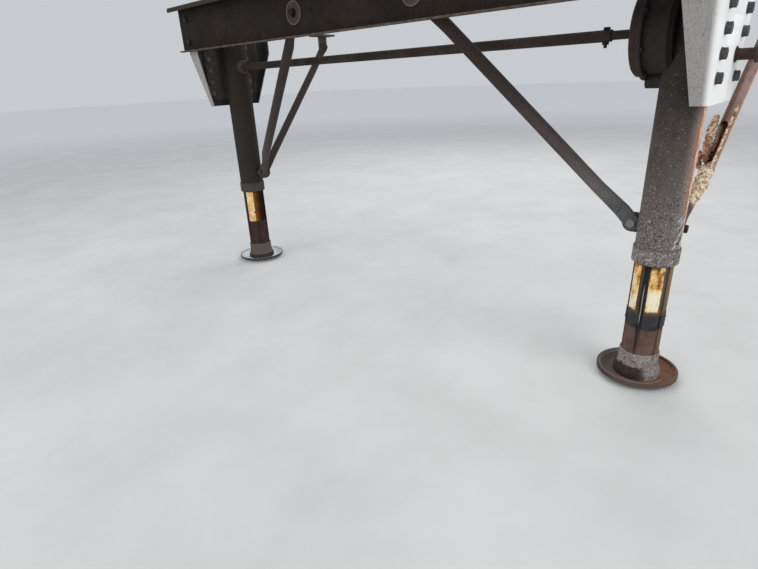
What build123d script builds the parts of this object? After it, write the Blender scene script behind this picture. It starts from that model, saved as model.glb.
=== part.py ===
from build123d import *
import math
import os

# Landing gear of a semi trailer: two telescoping legs on round tubes, bolted to formed hangers,
# braced with flattened pipes, with a gearbox, cross shaft and folding crank, and the cross beam
# of the trailer's front that carries the side braces.
#
# Millimetres. The pieces are drawn with X forward, Y to the left and Z up from the ground, with
# the legs' axes at X = 0. save() then shifts them so that the origin is the middle of the cross
# beam's top face, where the gear hangs from the trailer.

# Legs
TRACK = 2174.0
LEG_Y = TRACK / 2
TUBE_OD = 127.0
TUBE_R = TUBE_OD / 2
TUBE_WALL = 5.5
TUBE_TOP = 1235.0
CAP_THICKNESS = 6.0
CAP_OVERHANG = 3.0
CAP_CHAMFER = 2.0
COLLAR_BOTTOM = 411.0
COLLAR_HEIGHT = 49.0
COLLAR_WALL = 4.5
COLLAR_LIP = 7.0
COLLAR_CHAMFER = 3.5
SLIDING_FIT = 0.85
INNER_OD = TUBE_OD - 2 * (TUBE_WALL + SLIDING_FIT)
INNER_WALL = 9.0
INNER_OVERLAP = 120.0
KEYWAY_COUNT = 6
KEYWAY_WIDTH = 11.0
KEYWAY_DEPTH = 3.5

# Feet
FOOT_OD = 254.0
FOOT_FLAT_OD = 190.0
FOOT_PLATE = 8.0
FOOT_RISE = 14.0
FOOT_RIM_HEIGHT = 12.0
FOOT_EASE = 2.0
BOSS_TOP_WALL = 5.0
BOSS_BOTTOM_WALL = 16.0
BOSS_TOP = 96.0
BOSS_NECK = 52.0
BOSS_FLARE_TOP = 24.0
BOSS_SOCKET = 40.0

# Hangers and mounting plates, with heights set from the tube's top and widths from its radius
BOLT_D = 15.9
BOLT_PLAY = 1.1
BOLT_HOLE_D = BOLT_D + BOLT_PLAY
BOLT_HEAD_AF = 24.0
BOLT_HEAD_H = 11.0
BOLT_TAIL = 7.0
WASHER_OD = 30.0
WASHER_H = 3.0
PLATE_GAP = 15.5
MOUNT_PLATE_THICKNESS = 8.0
HANGER_THICKNESS = 6.0
PLATE_INNER_Y = LEG_Y + TUBE_R + PLATE_GAP
HANGER_WEB_Y = PLATE_INNER_Y + MOUNT_PLATE_THICKNESS + HANGER_THICKNESS
HANGER_BOTTOM = TUBE_TOP - 349.0
HANGER_KNEE = TUBE_TOP - 90.0
FLANGE_LOW = 44.0
FLANGE_HIGH = 88.0
BEND_RADIUS = 24.0
BOLT_COLUMN_X = TUBE_R + 55.5
MOUNT_PLATE_WIDTH = 2 * BOLT_COLUMN_X + WASHER_OD
MOUNT_PLATE_CORNER = 32.0
MOUNT_PLATE_BOTTOM = HANGER_BOTTOM + 32.0
MOUNT_PLATE_TOP = TUBE_TOP + 10.0
RIB_X = 42.0
RIB_THICKNESS = 9.0
RIB_INSET = 12.0
HANGER_FRONT_LOW = MOUNT_PLATE_WIDTH / 2 + HANGER_THICKNESS
HANGER_REAR_LOW = -(MOUNT_PLATE_WIDTH / 2 + 21.0)
HANGER_REAR_HIGH = HANGER_REAR_LOW - 80.0
BOLT_ROW_BOTTOM = HANGER_BOTTOM + 65.0
BOLT_ROW_PITCH = 56.5
BOLT_ROWS = 5

# Cross beam
BEAM_OVERHANG = 20.0
BEAM_LENGTH = 2 * (HANGER_WEB_Y + BEAM_OVERHANG)
BEAM_REAR_X = HANGER_FRONT_LOW + 75.0
BEAM_DEPTH = 65.0
BEAM_FOOT_DEPTH = 32.0
BEAM_HEIGHT = 200.0
BEAM_BOTTOM = HANGER_KNEE + 10.0
BEAM_TOP = BEAM_BOTTOM + BEAM_HEIGHT
BEAM_THICKNESS = 6.0
BEAM_LIP = 20.0
BEAM_BEND = 9.0
BEAM_BOLT_INSET = 46.0
BEAM_BOLT_ROWS = (BEAM_BOTTOM + 45.0, BEAM_BOTTOM + 145.0)
RAIL_HOLE_ROW = BEAM_TOP - 72.0
RAIL_HOLE_PITCH = 46.0
RAIL_HOLE_ROWS = 2

# Gearbox, a drum in two halves with a lobe for the input shaft and a low boss
SHAFT_Z = TUBE_TOP - 160.0
CASE_JOINT_Y = LEG_Y - TUBE_R - 39.5
CASE_BACK_Y = LEG_Y - TUBE_R + 36.5
CASE_R = 111.0
CASE_EDGE = 12.0
CASE_FLANGE_R = 127.0
CASE_FLANGE = 5.0
COVER_R = 117.0
COVER_DEPTH = 29.0
COVER_EDGE = 5.0
COVER_FLANGE = 6.0
HUB_R = 32.0
HUB_LENGTH = 18.0
HUB_Y = CASE_JOINT_Y - COVER_DEPTH - HUB_LENGTH
COVER_BOLT_COUNT = 8
COVER_BOLT_R = 119.5
COVER_BOLT_D = 8.0
COVER_BOLT_AF = 13.0
COVER_BOLT_HEAD = 5.5
LOBE_R = 30.0
LOBE_DEPTH = 78.0
LOW_BOSS_X = -10.0
LOW_BOSS_Z = SHAFT_Z - 125.0
LOW_BOSS_R = 24.0
LOW_BOSS_DEPTH = 51.0
INPUT_X = -(TUBE_R + 16.5)
INPUT_Z = SHAFT_Z - (TUBE_R + 5.5)
RUNNING_FIT = 0.1

# Cross shaft
PIPE_OD = 33.4
STUB_D = 25.0
BEARING_OD = 66.0
BEARING_LENGTH = 20.0
BEARING_CHAMFER = 4.0
PIPE_END_LEFT = HUB_Y - 65.0
PIPE_END_RIGHT = -(LEG_Y - TUBE_R - BEARING_LENGTH - 18.5)
STUB_IN_PIPE = 55.0
STUB_IN_CASE = 25.0
STUB_END_GAP = 2.0
STUB_IN_BEARING = 11.0
STUB_PASSAGE = 4.0
COUPLING_BOLT_D = 10.0
COUPLING_BOLT_INSET = 16.0
COUPLING_BOLT_AF = 17.0
COUPLING_BOLT_HEAD = 7.0
COUPLING_BOLT_TAIL = 9.0

# Input shaft and crank
INPUT_D = 30.0
INPUT_IN_CASE = 8.0
INPUT_END_GAP = 2.0
BUSHING_OD = 42.0
BUSHING_CHAMFER = 1.5
BUSHING_INNER_Y = PLATE_INNER_Y - 8.0
BUSHING_OUTER_Y = HANGER_WEB_Y + 3.0
KNUCKLE_OD = 46.0
KNUCKLE_START_Y = HANGER_WEB_Y + 46.0
KNUCKLE_ROOT_Y = HANGER_WEB_Y + 88.0
KNUCKLE_FLOOR = 8.0
FOLD_PIN_Y = HANGER_WEB_Y + 110.0
FOLD_PIN_D = 10.0
FORK_GAP = 18.0
FORK_CHEEK = 9.0
FORK_R = 15.0
FORK_SEAT = 6.0
TONGUE_CLEARANCE = 0.5
TONGUE_REACH = 34.0
TONGUE_OD = 28.0
TONGUE_SEAT = 6.0
HANDLE_D = 22.0
HANDLE_ARM = 180.0
HANDLE_THROW = 300.0
HANDLE_GRIP = 150.0
HANDLE_BEND = 38.0
GRIP_OD = 30.0
GRIP_LENGTH = 100.0
GRIP_END_GAP = 8.0
GRIP_CHAMFER = 2.0

# Braces, pipes with pressed ends
BRACE_OD = 42.2
BRACE_WALL = 3.6
TAB_WIDTH = 50.0
TAB_THICKNESS = 12.0
TAB_LENGTH = 50.0
TAB_NOSE = 26.0
TAB_TRIM = 1.0
TAB_CORNER = 17.0
PRESSED_RUN = 110.0
PRESSED_ARC = 55.0
BRACE_BOLT_D = 15.9
BRACE_HOLE_D = BRACE_BOLT_D + BOLT_PLAY
LUG_THICKNESS = 10.0
LUG_WIDTH = 64.0
LUG_ROUND = 30.0
LUG_TO_TAB = (LUG_THICKNESS + TAB_THICKNESS) / 2
LATERAL_LUG_X = -26.0
LATERAL_LOW_Y = LEG_Y - TUBE_R - 24.5
LATERAL_LOW_Z = COLLAR_BOTTOM + 110.0
LATERAL_HIGH_Y = 300.0
LATERAL_HIGH_Z = BEAM_BOTTOM + 90.0
ROUND_PLATE_OD = 88.0
ROUND_PLATE_H = 6.0
REAR_LOW_X = -(TUBE_R + 54.5)
REAR_LOW_Z = COLLAR_BOTTOM + 84.0
REAR_LUG_Y = LEG_Y + 23.0
REAR_HIGH_X = -745.0
REAR_HIGH_Y = HANGER_WEB_Y + 4.5
REAR_HIGH_Z = BEAM_BOTTOM + 33.0
REAR_BASE_Z = REAR_HIGH_Z + 62.0
REAR_BASE_LENGTH = 150.0
REAR_BASE_WIDTH = 90.0
REAR_BASE_ROUND = 8.0
REAR_BASE_HOLE_X = 100.0
REAR_BASE_HOLE_Y = 50.0

# The stretch of the left rear brace that has rusted open, measured from its low bolt
RUST_START = 205.0
RUST_FLOOR_START = 250.0
RUST_FLOOR_END = 395.0
RUST_END = 432.0
RUST_FLOOR = 6.0
RUST_TOWARDS = (0.55, -0.70, 0.45)

# How far a cutting shape runs past the faces that it cuts
PAST = 20.0

# How near a measured place must be to count as the same one
NEAR = 1.0

ORIGIN_SHIFT = Location((-(BEAM_REAR_X + BEAM_DEPTH / 2), 0, -BEAM_TOP))
SIDES = (("left", 1), ("right", -1))


# Helpers
def save(name, shape):
    """Shift a piece to the part's origin and write it under its node's name."""
    export_step(ORIGIN_SHIFT * shape, f"parts/{name}.step")


def rod(diameter, start, end):
    """A round bar between two points."""
    start = Vector(start)
    run = Vector(end) - start
    return extrude(Plane(start, z_dir=run.normalized()) * Circle(diameter / 2), run.length)


def mirrored(shape, side):
    """A piece drawn for the left leg, or its mirror image for the right one."""
    return shape if side > 0 else mirror(shape, Plane.XZ)


def hex_bolt(start, end, diameter, across_flats, head, washer_od=0.0, washer=0.0, tail=0.0):
    """A bolt with its head on start and its nut on end, washers under both, and a thread's tail."""
    start = Vector(start)
    axis = (Vector(end) - start).normalized()
    end = Vector(end)
    corner_r = across_flats / math.sqrt(3)
    bolt = rod(diameter, start - axis * washer, end + axis * (washer + head + tail))
    for face, outward in ((start, axis * -1), (end, axis)):
        if washer:
            bolt += rod(washer_od, face, face + outward * washer)
        seat = face + outward * washer
        bolt += extrude(Plane(seat, z_dir=outward) * RegularPolygon(corner_r, 6), head)
    return bolt


# Legs
def outer_tube():
    seat = COLLAR_BOTTOM + COLLAR_LIP
    tube = rod(TUBE_OD, (0, LEG_Y, seat), (0, LEG_Y, TUBE_TOP))
    return tube - rod(TUBE_OD - 2 * TUBE_WALL, (0, LEG_Y, seat), (0, LEG_Y, TUBE_TOP))


def leg_collar():
    """A ring around the tube's end, with a lip below it that wipes the inner tube."""
    top = COLLAR_BOTTOM + COLLAR_HEIGHT
    outer_r = TUBE_R + COLLAR_WALL
    profile = Polyline(
        (INNER_OD / 2, COLLAR_BOTTOM),
        (outer_r - COLLAR_CHAMFER, COLLAR_BOTTOM),
        (outer_r, COLLAR_BOTTOM + COLLAR_CHAMFER),
        (outer_r, top - COLLAR_CHAMFER),
        (outer_r - COLLAR_CHAMFER, top),
        (TUBE_R, top),
        (TUBE_R, COLLAR_BOTTOM + COLLAR_LIP),
        (INNER_OD / 2, COLLAR_BOTTOM + COLLAR_LIP),
        close=True,
    )
    ring = revolve(Plane.XZ * make_face(profile), Axis.Z)
    return Location((0, LEG_Y, 0)) * ring


def inner_tube():
    """The sliding tube, with straight key grooves cut along its outside."""
    bottom = BOSS_TOP - BOSS_SOCKET
    top = COLLAR_BOTTOM + INNER_OVERLAP
    tube = rod(INNER_OD, (0, 0, bottom), (0, 0, top))
    tube -= rod(INNER_OD - 2 * INNER_WALL, (0, 0, bottom), (0, 0, top))
    groove = Pos(INNER_OD / 2, 0, (BOSS_TOP + top) / 2) * Box(
        2 * KEYWAY_DEPTH, KEYWAY_WIDTH, top - BOSS_TOP
    )
    for step in range(KEYWAY_COUNT):
        tube -= Rot(0, 0, 360 / KEYWAY_COUNT * step) * groove
    return Location((0, LEG_Y, 0)) * tube


def foot_boss():
    """The flared casting that holds the inner tube on the foot."""
    floor = FOOT_PLATE
    bottom_r = INNER_OD / 2 + BOSS_BOTTOM_WALL
    top_r = INNER_OD / 2 + BOSS_TOP_WALL
    profile = Polyline(
        (0, floor),
        (bottom_r, floor),
        (bottom_r, BOSS_FLARE_TOP),
        (top_r, BOSS_NECK),
        (top_r, BOSS_TOP - BOSS_TOP_WALL / 2),
        (top_r - BOSS_TOP_WALL / 2, BOSS_TOP),
        (INNER_OD / 2, BOSS_TOP),
        (INNER_OD / 2, BOSS_TOP - BOSS_SOCKET),
        (0, BOSS_TOP - BOSS_SOCKET),
        close=True,
    )
    return Location((0, LEG_Y, 0)) * revolve(Plane.XZ * make_face(profile), Axis.Z)


def foot_pad():
    """A dished steel pad: flat in the middle, with a sloping border and a raised rim."""
    flat_r = FOOT_FLAT_OD / 2
    rim_r = FOOT_OD / 2
    rim_top = FOOT_RISE + FOOT_RIM_HEIGHT
    outside = Polyline((0, 0), (flat_r, 0), (rim_r, FOOT_RISE), (rim_r, rim_top))
    inside = Polyline(
        (rim_r, rim_top),
        (rim_r - FOOT_PLATE, rim_top),
        (rim_r - FOOT_PLATE, FOOT_RISE + FOOT_PLATE - FOOT_EASE),
        (flat_r - FOOT_EASE, FOOT_PLATE),
        (0, FOOT_PLATE),
        (0, 0),
    )
    profile = make_face(outside.edges() + inside.edges())
    return Location((0, LEG_Y, 0)) * revolve(Plane.XZ * profile, Axis.Z)


def leg_cap():
    top = TUBE_TOP + CAP_THICKNESS
    cap = rod(TUBE_OD + 2 * CAP_OVERHANG, (0, LEG_Y, TUBE_TOP), (0, LEG_Y, top))
    return chamfer(cap.edges().sort_by(Axis.Z)[-1], CAP_CHAMFER)


def lateral_lug():
    """A flat ear welded on the tube's inboard side, square to the trailer's length."""
    reach = LATERAL_LOW_Y - LUG_WIDTH / 2
    ear = Pos(LATERAL_LUG_X, (reach + LEG_Y) / 2, LATERAL_LOW_Z) * Box(
        LUG_THICKNESS, LEG_Y - reach, LUG_WIDTH
    )
    ear = fillet(ear.edges().filter_by(Axis.X).sort_by(Axis.Y)[:2], LUG_ROUND)
    ear -= rod(TUBE_OD, (0, LEG_Y, COLLAR_BOTTOM), (0, LEG_Y, TUBE_TOP))
    hole = rod(
        BRACE_HOLE_D,
        (LATERAL_LUG_X - LUG_THICKNESS, LATERAL_LOW_Y, LATERAL_LOW_Z),
        (LATERAL_LUG_X + LUG_THICKNESS, LATERAL_LOW_Y, LATERAL_LOW_Z),
    )
    return ear - hole


def rear_lug():
    """A flat ear welded on the tube's rear side, in line with the trailer."""
    reach = REAR_LOW_X - LUG_WIDTH / 2
    ear = Pos(reach / 2, REAR_LUG_Y, REAR_LOW_Z) * Box(-reach, LUG_THICKNESS, LUG_WIDTH)
    ear = fillet(ear.edges().filter_by(Axis.Y).sort_by(Axis.X)[:2], LUG_ROUND)
    ear -= rod(TUBE_OD, (0, LEG_Y, COLLAR_BOTTOM), (0, LEG_Y, TUBE_TOP))
    hole = rod(
        BRACE_HOLE_D,
        (REAR_LOW_X, REAR_LUG_Y - LUG_THICKNESS, REAR_LOW_Z),
        (REAR_LOW_X, REAR_LUG_Y + LUG_THICKNESS, REAR_LOW_Z),
    )
    return ear - hole


def leg_lugs():
    return Compound(children=[lateral_lug().solid(), rear_lug().solid()])


# Hangers
def hanger_side(z, inset):
    """X of the hanger's front and rear faces at a height, moved inward by inset."""
    part = min((z - HANGER_BOTTOM) / (HANGER_KNEE - HANGER_BOTTOM), 1.0)
    front = HANGER_FRONT_LOW + (BEAM_REAR_X - HANGER_FRONT_LOW) * part
    rear = HANGER_REAR_LOW + (HANGER_REAR_HIGH - HANGER_REAR_LOW) * part
    return front - inset, rear + inset


def hanger_outline(inset, bottom, top):
    """The hanger's side view, as a face in the X-Z plane at the web's outer face."""
    heights = (bottom, HANGER_KNEE, top)
    front = [(hanger_side(z, inset)[0], z) for z in heights]
    rear = [(hanger_side(z, inset)[1], z) for z in reversed(heights)]
    return Plane((0, HANGER_WEB_Y, 0), x_dir=(1, 0, 0), z_dir=(0, -1, 0)) * make_face(
        Polyline(*front, *rear, close=True)
    )


def bend_edges(block):
    """The edges of the web's outer face that run up the front and rear sides."""
    outer = block.faces().sort_by(Axis.Y)[-1].edges()
    return outer.filter_by(lambda edge: abs(edge.tangent_at(0.5).Z) > 0.5)


def bolt_places():
    """X and Z of the bolts that hold the leg's mounting plate to the hanger."""
    for row in range(BOLT_ROWS):
        for column in (-BOLT_COLUMN_X, BOLT_COLUMN_X):
            yield column, BOLT_ROW_BOTTOM + row * BOLT_ROW_PITCH


def rail_hole_places():
    """X and Z of the open holes that take the trailer's side rail."""
    for row in range(RAIL_HOLE_ROWS):
        for column in (-BOLT_COLUMN_X, BOLT_COLUMN_X):
            yield column, RAIL_HOLE_ROW + row * RAIL_HOLE_PITCH


def beam_bolt_y():
    return HANGER_WEB_Y - HANGER_THICKNESS - BEAM_BOLT_INSET


def hanger(with_bushing):
    """A plate formed into a web and two inboard flanges that widen upwards."""
    outer = extrude(hanger_outline(0, HANGER_BOTTOM, BEAM_TOP), FLANGE_HIGH)
    outer = fillet(bend_edges(outer), BEND_RADIUS)
    hollow_face = hanger_outline(HANGER_THICKNESS, HANGER_BOTTOM - PAST, BEAM_TOP + PAST)
    hollow = Pos(0, -HANGER_THICKNESS, 0) * extrude(hollow_face, FLANGE_HIGH)
    hollow = fillet(bend_edges(hollow), BEND_RADIUS - HANGER_THICKNESS)
    plate = outer - hollow
    low_edge = HANGER_WEB_Y - FLANGE_LOW
    high_edge = HANGER_WEB_Y - FLANGE_HIGH
    trim = Polyline(
        (low_edge, HANGER_BOTTOM - PAST),
        (low_edge, HANGER_BOTTOM),
        (high_edge, HANGER_KNEE),
        (high_edge - PAST, HANGER_KNEE),
        (high_edge - PAST, HANGER_BOTTOM - PAST),
        close=True,
    )
    plate -= extrude(Plane.YZ * make_face(trim), -2 * HANGER_REAR_HIGH, both=True)
    for x, z in [*bolt_places(), *rail_hole_places()]:
        plate -= rod(BOLT_HOLE_D, (x, HANGER_WEB_Y - PAST, z), (x, HANGER_WEB_Y + PAST, z))
    for z in BEAM_BOLT_ROWS:
        y = beam_bolt_y()
        plate -= rod(BOLT_HOLE_D, (BEAM_REAR_X - PAST, y, z), (BEAM_REAR_X + PAST, y, z))
    if with_bushing:
        plate -= bushing_hole()
    return plate


def bushing_hole():
    return rod(
        BUSHING_OD,
        (INPUT_X, PLATE_INNER_Y - PAST, INPUT_Z),
        (INPUT_X, HANGER_WEB_Y + PAST, INPUT_Z),
    )


def mounting_plate(with_bushing):
    """The leg's own plate against the hanger's web, with two ribs that stand it off the tube."""
    height = MOUNT_PLATE_TOP - MOUNT_PLATE_BOTTOM
    middle_z = (MOUNT_PLATE_TOP + MOUNT_PLATE_BOTTOM) / 2
    plate = Pos(0, PLATE_INNER_Y + MOUNT_PLATE_THICKNESS / 2, middle_z) * Box(
        MOUNT_PLATE_WIDTH, MOUNT_PLATE_THICKNESS, height
    )
    plate = chamfer(plate.edges().filter_by(Axis.Y), MOUNT_PLATE_CORNER)
    rib_bottom = MOUNT_PLATE_BOTTOM + RIB_INSET
    rib_height = TUBE_TOP - rib_bottom
    for x in (-RIB_X, RIB_X):
        plate += Pos(x, (PLATE_INNER_Y + LEG_Y) / 2, rib_bottom + rib_height / 2) * Box(
            RIB_THICKNESS, PLATE_INNER_Y - LEG_Y, rib_height
        )
    plate -= rod(TUBE_OD, (0, LEG_Y, COLLAR_BOTTOM), (0, LEG_Y, TUBE_TOP))
    for x, z in bolt_places():
        plate -= rod(BOLT_HOLE_D, (x, PLATE_INNER_Y - PAST, z), (x, HANGER_WEB_Y, z))
    if with_bushing:
        plate -= bushing_hole()
    return plate


def hanger_bolts():
    bolts = [
        hex_bolt(
            (x, HANGER_WEB_Y, z), (x, PLATE_INNER_Y, z), BOLT_D, BOLT_HEAD_AF, BOLT_HEAD_H,
            WASHER_OD, WASHER_H, BOLT_TAIL,
        )
        for x, z in bolt_places()
    ]
    return Compound(children=[bolt.solid() for bolt in bolts])


# Cross beam
def lateral_high_x():
    """Middle of the side brace's upper tab, flat on the beam's rear face."""
    return BEAM_REAR_X - TAB_THICKNESS / 2


def cross_beam():
    """A folded channel, open to the front: a lipped top flange, a web and a short bottom flange."""
    web_x = BEAM_REAR_X + BEAM_THICKNESS
    front_x = BEAM_REAR_X + BEAM_DEPTH
    lip_x = front_x - BEAM_THICKNESS
    foot_x = BEAM_REAR_X + BEAM_FOOT_DEPTH
    under_top = BEAM_TOP - BEAM_THICKNESS
    above_foot = BEAM_BOTTOM + BEAM_THICKNESS
    section = make_face(Polyline(
        (BEAM_REAR_X, BEAM_BOTTOM),
        (foot_x, BEAM_BOTTOM),
        (foot_x, above_foot),
        (web_x, above_foot),
        (web_x, under_top),
        (lip_x, under_top),
        (lip_x, BEAM_TOP - BEAM_LIP),
        (front_x, BEAM_TOP - BEAM_LIP),
        (front_x, BEAM_TOP),
        (BEAM_REAR_X, BEAM_TOP),
        close=True,
    ))
    beam = extrude(Plane.XZ * section, BEAM_LENGTH / 2, both=True)
    folds = beam.edges().filter_by(Axis.Y)
    outer_folds = folds.filter_by(lambda edge: (
        abs(edge.center().X - BEAM_REAR_X) < NEAR
        or (abs(edge.center().X - front_x) < NEAR and edge.center().Z > BEAM_TOP - NEAR)
    ))
    beam = fillet(outer_folds, BEAM_BEND)
    folds = beam.edges().filter_by(Axis.Y)
    inner_folds = folds.filter_by(lambda edge: (
        abs(edge.center().X - web_x) < NEAR
        or (abs(edge.center().X - lip_x) < NEAR and edge.center().Z > under_top - NEAR)
    ))
    beam = fillet(inner_folds, BEAM_BEND - BEAM_THICKNESS)
    for side in (-1, 1):
        for z in BEAM_BOLT_ROWS:
            y = side * beam_bolt_y()
            beam -= rod(BOLT_HOLE_D, (BEAM_REAR_X - PAST, y, z), (BEAM_REAR_X + PAST, y, z))
        y = side * LATERAL_HIGH_Y
        z = LATERAL_HIGH_Z
        beam -= rod(BRACE_HOLE_D, (BEAM_REAR_X - PAST, y, z), (BEAM_REAR_X + PAST, y, z))
    return beam


def beam_bolts():
    """The bolts through each hanger's front flange and the beam's web."""
    front_face = BEAM_REAR_X + BEAM_THICKNESS
    rear_face = BEAM_REAR_X - HANGER_THICKNESS
    bolts = [
        hex_bolt(
            (front_face, side * beam_bolt_y(), z), (rear_face, side * beam_bolt_y(), z),
            BOLT_D, BOLT_HEAD_AF, BOLT_HEAD_H, WASHER_OD, WASHER_H, BOLT_TAIL,
        )
        for side in (-1, 1)
        for z in BEAM_BOLT_ROWS
    ]
    return Compound(children=[bolt.solid() for bolt in bolts])


# Braces
def tab_outline():
    """A pressed end seen square on, with the bolt at the origin and its two corners clipped."""
    half = TAB_WIDTH / 2
    corner_x = TAB_CORNER - TAB_NOSE
    corner_y = half - TAB_CORNER
    return make_face(Polyline(
        (TAB_LENGTH, half),
        (corner_x, half),
        (-TAB_NOSE, corner_y),
        (-TAB_NOSE, -corner_y),
        (corner_x, -half),
        (TAB_LENGTH, -half),
        close=True,
    ))


def flat_section():
    """The pressed pipe's cross-section: two flat sides and two round edges."""
    flat = (TAB_WIDTH - TAB_THICKNESS) / 2
    half = TAB_THICKNESS / 2
    return make_face([
        Line((-flat, half), (flat, half)),
        ThreePointArc((flat, half), (flat + half, 0), (flat, -half)),
        Line((flat, -half), (-flat, -half)),
        ThreePointArc((-flat, -half), (-flat - half, 0), (-flat, half)),
    ])


def round_section():
    """The pipe's round outline, in four arcs that match the flat section's four sides."""
    radius = BRACE_OD / 2
    x = radius * math.sin(math.radians(PRESSED_ARC))
    y = radius * math.cos(math.radians(PRESSED_ARC))
    return make_face([
        ThreePointArc((-x, y), (0, radius), (x, y)),
        ThreePointArc((x, y), (radius, 0), (x, -y)),
        ThreePointArc((x, -y), (0, -radius), (-x, -y)),
        ThreePointArc((-x, -y), (-radius, 0), (-x, y)),
    ])


def pressed_end(bolt, pipe_end, pipe_dir, normal):
    """A pipe's pressed end: a flat tab with round edges about the bolt, and the run up to it."""
    along = (pipe_end - bolt) - normal * (pipe_end - bolt).dot(normal)
    along = along.normalized()
    tab_plane = Plane(bolt - normal * (TAB_THICKNESS / 2), x_dir=along, z_dir=normal)
    across = normal.cross(along)
    nose = Plane(bolt - along * (TAB_NOSE + TAB_TRIM), x_dir=across, z_dir=along)
    tab = extrude(nose * flat_section(), TAB_NOSE + TAB_TRIM + TAB_LENGTH)
    tab = (tab & extrude(tab_plane * tab_outline(), TAB_THICKNESS)).solid()
    pressed = Plane(bolt + along * TAB_LENGTH, x_dir=across, z_dir=along)
    round_end = Plane(pipe_end, x_dir=across, z_dir=pipe_dir)
    widening = loft([pressed * flat_section(), round_end * round_section()], ruled=True)
    return tab + widening


def brace(low, high, normal):
    """A pipe with both ends pressed flat and drilled, between two bolts."""
    low = Vector(low)
    high = Vector(high)
    normal = Vector(normal)
    run = (high - low).normalized()
    pipe_low = low + run * (TAB_LENGTH + PRESSED_RUN)
    pipe_high = high - run * (TAB_LENGTH + PRESSED_RUN)
    pipe = rod(BRACE_OD, pipe_low, pipe_high)
    pipe -= rod(BRACE_OD - 2 * BRACE_WALL, pipe_low, pipe_high)
    pipe += pressed_end(low, pipe_low, run, normal)
    pipe += pressed_end(high, pipe_high, run * -1, normal)
    for bolt in (low, high):
        reach = normal * TAB_THICKNESS
        pipe -= rod(BRACE_HOLE_D, bolt - reach, bolt + reach)
    return pipe


def lateral_brace():
    return brace(
        (LATERAL_LUG_X + LUG_TO_TAB, LATERAL_LOW_Y, LATERAL_LOW_Z),
        (lateral_high_x(), LATERAL_HIGH_Y, LATERAL_HIGH_Z),
        (1, 0, 0),
    )


def rear_brace():
    return brace(
        (REAR_LOW_X, REAR_LUG_Y + LUG_TO_TAB, REAR_LOW_Z),
        (REAR_HIGH_X, REAR_HIGH_Y, REAR_HIGH_Z),
        (0, 1, 0),
    )


def rusted_rear_brace():
    """The left rear brace, whose wall has rusted away along one side."""
    low = Vector(REAR_LOW_X, REAR_LUG_Y + LUG_TO_TAB, REAR_LOW_Z)
    run = (Vector(REAR_HIGH_X, REAR_HIGH_Y, REAR_HIGH_Z) - low).normalized()
    towards = Vector(RUST_TOWARDS)
    towards = (towards - run * towards.dot(run)).normalized()
    outside = BRACE_OD
    opening = make_face(Polyline(
        (RUST_START, outside),
        (RUST_FLOOR_START, RUST_FLOOR),
        (RUST_FLOOR_END, RUST_FLOOR),
        (RUST_END, outside),
        close=True,
    ))
    side = Plane(low, x_dir=run, z_dir=run.cross(towards))
    return rear_brace() - extrude(side * opening, BRACE_OD, both=True)


def rear_bracket():
    """The clip that joins the rear brace to the trailer's frame: a drilled base and an ear."""
    base_centre_y = REAR_HIGH_Y + LUG_TO_TAB
    base = Pos(REAR_HIGH_X, base_centre_y, REAR_BASE_Z + LUG_THICKNESS / 2) * Box(
        REAR_BASE_LENGTH, REAR_BASE_WIDTH, LUG_THICKNESS
    )
    base = fillet(base.edges().filter_by(Axis.Z), REAR_BASE_ROUND)
    ear_bottom = REAR_HIGH_Z - LUG_WIDTH / 2
    ear = Pos(REAR_HIGH_X, base_centre_y, (ear_bottom + REAR_BASE_Z) / 2) * Box(
        LUG_WIDTH, LUG_THICKNESS, REAR_BASE_Z - ear_bottom
    )
    ear = fillet(ear.edges().filter_by(Axis.Y).sort_by(Axis.Z)[:1], LUG_ROUND)
    bracket = base + ear
    bracket -= rod(
        BRACE_HOLE_D,
        (REAR_HIGH_X, base_centre_y - PAST, REAR_HIGH_Z),
        (REAR_HIGH_X, base_centre_y + PAST, REAR_HIGH_Z),
    )
    for dx in (-REAR_BASE_HOLE_X / 2, REAR_BASE_HOLE_X / 2):
        for dy in (-REAR_BASE_HOLE_Y / 2, REAR_BASE_HOLE_Y / 2):
            x = REAR_HIGH_X + dx
            y = base_centre_y + dy
            bracket -= rod(BOLT_HOLE_D, (x, y, REAR_BASE_Z - PAST), (x, y, REAR_BASE_Z + PAST))
    return bracket


def brace_bolts():
    """One bolt at each end of the side brace and the rear brace, and the beam's round plate."""
    lug = LUG_THICKNESS / 2
    tab = TAB_THICKNESS
    beam_front = BEAM_REAR_X + BEAM_THICKNESS
    low = (LATERAL_LOW_Y, LATERAL_LOW_Z)
    high = (LATERAL_HIGH_Y, LATERAL_HIGH_Z)
    spans = (
        ((LATERAL_LUG_X + lug + tab, *low), (LATERAL_LUG_X - lug, *low)),
        ((beam_front + ROUND_PLATE_H, *high), (BEAM_REAR_X - tab, *high)),
        (
            (REAR_LOW_X, REAR_LUG_Y + lug + tab, REAR_LOW_Z),
            (REAR_LOW_X, REAR_LUG_Y - lug, REAR_LOW_Z),
        ),
        (
            (REAR_HIGH_X, REAR_HIGH_Y + tab / 2 + LUG_THICKNESS, REAR_HIGH_Z),
            (REAR_HIGH_X, REAR_HIGH_Y - tab / 2, REAR_HIGH_Z),
        ),
    )
    bolts = [
        hex_bolt(
            start, end, BRACE_BOLT_D, BOLT_HEAD_AF, BOLT_HEAD_H, WASHER_OD, WASHER_H, BOLT_TAIL
        )
        for start, end in spans
    ]
    bolts[1] += rod(ROUND_PLATE_OD, (beam_front, *high), (beam_front + ROUND_PLATE_H, *high))
    return Compound(children=[bolt.solid() for bolt in bolts])


# Gearbox, on the left leg's inboard side
def turned(points):
    """A body turned about the cross shaft's axis, from radius and Y pairs."""
    face = make_face(Polyline(*points, close=True))
    return Location((0, 0, SHAFT_Z)) * revolve(Plane.XY * face, Axis.Y)


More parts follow.
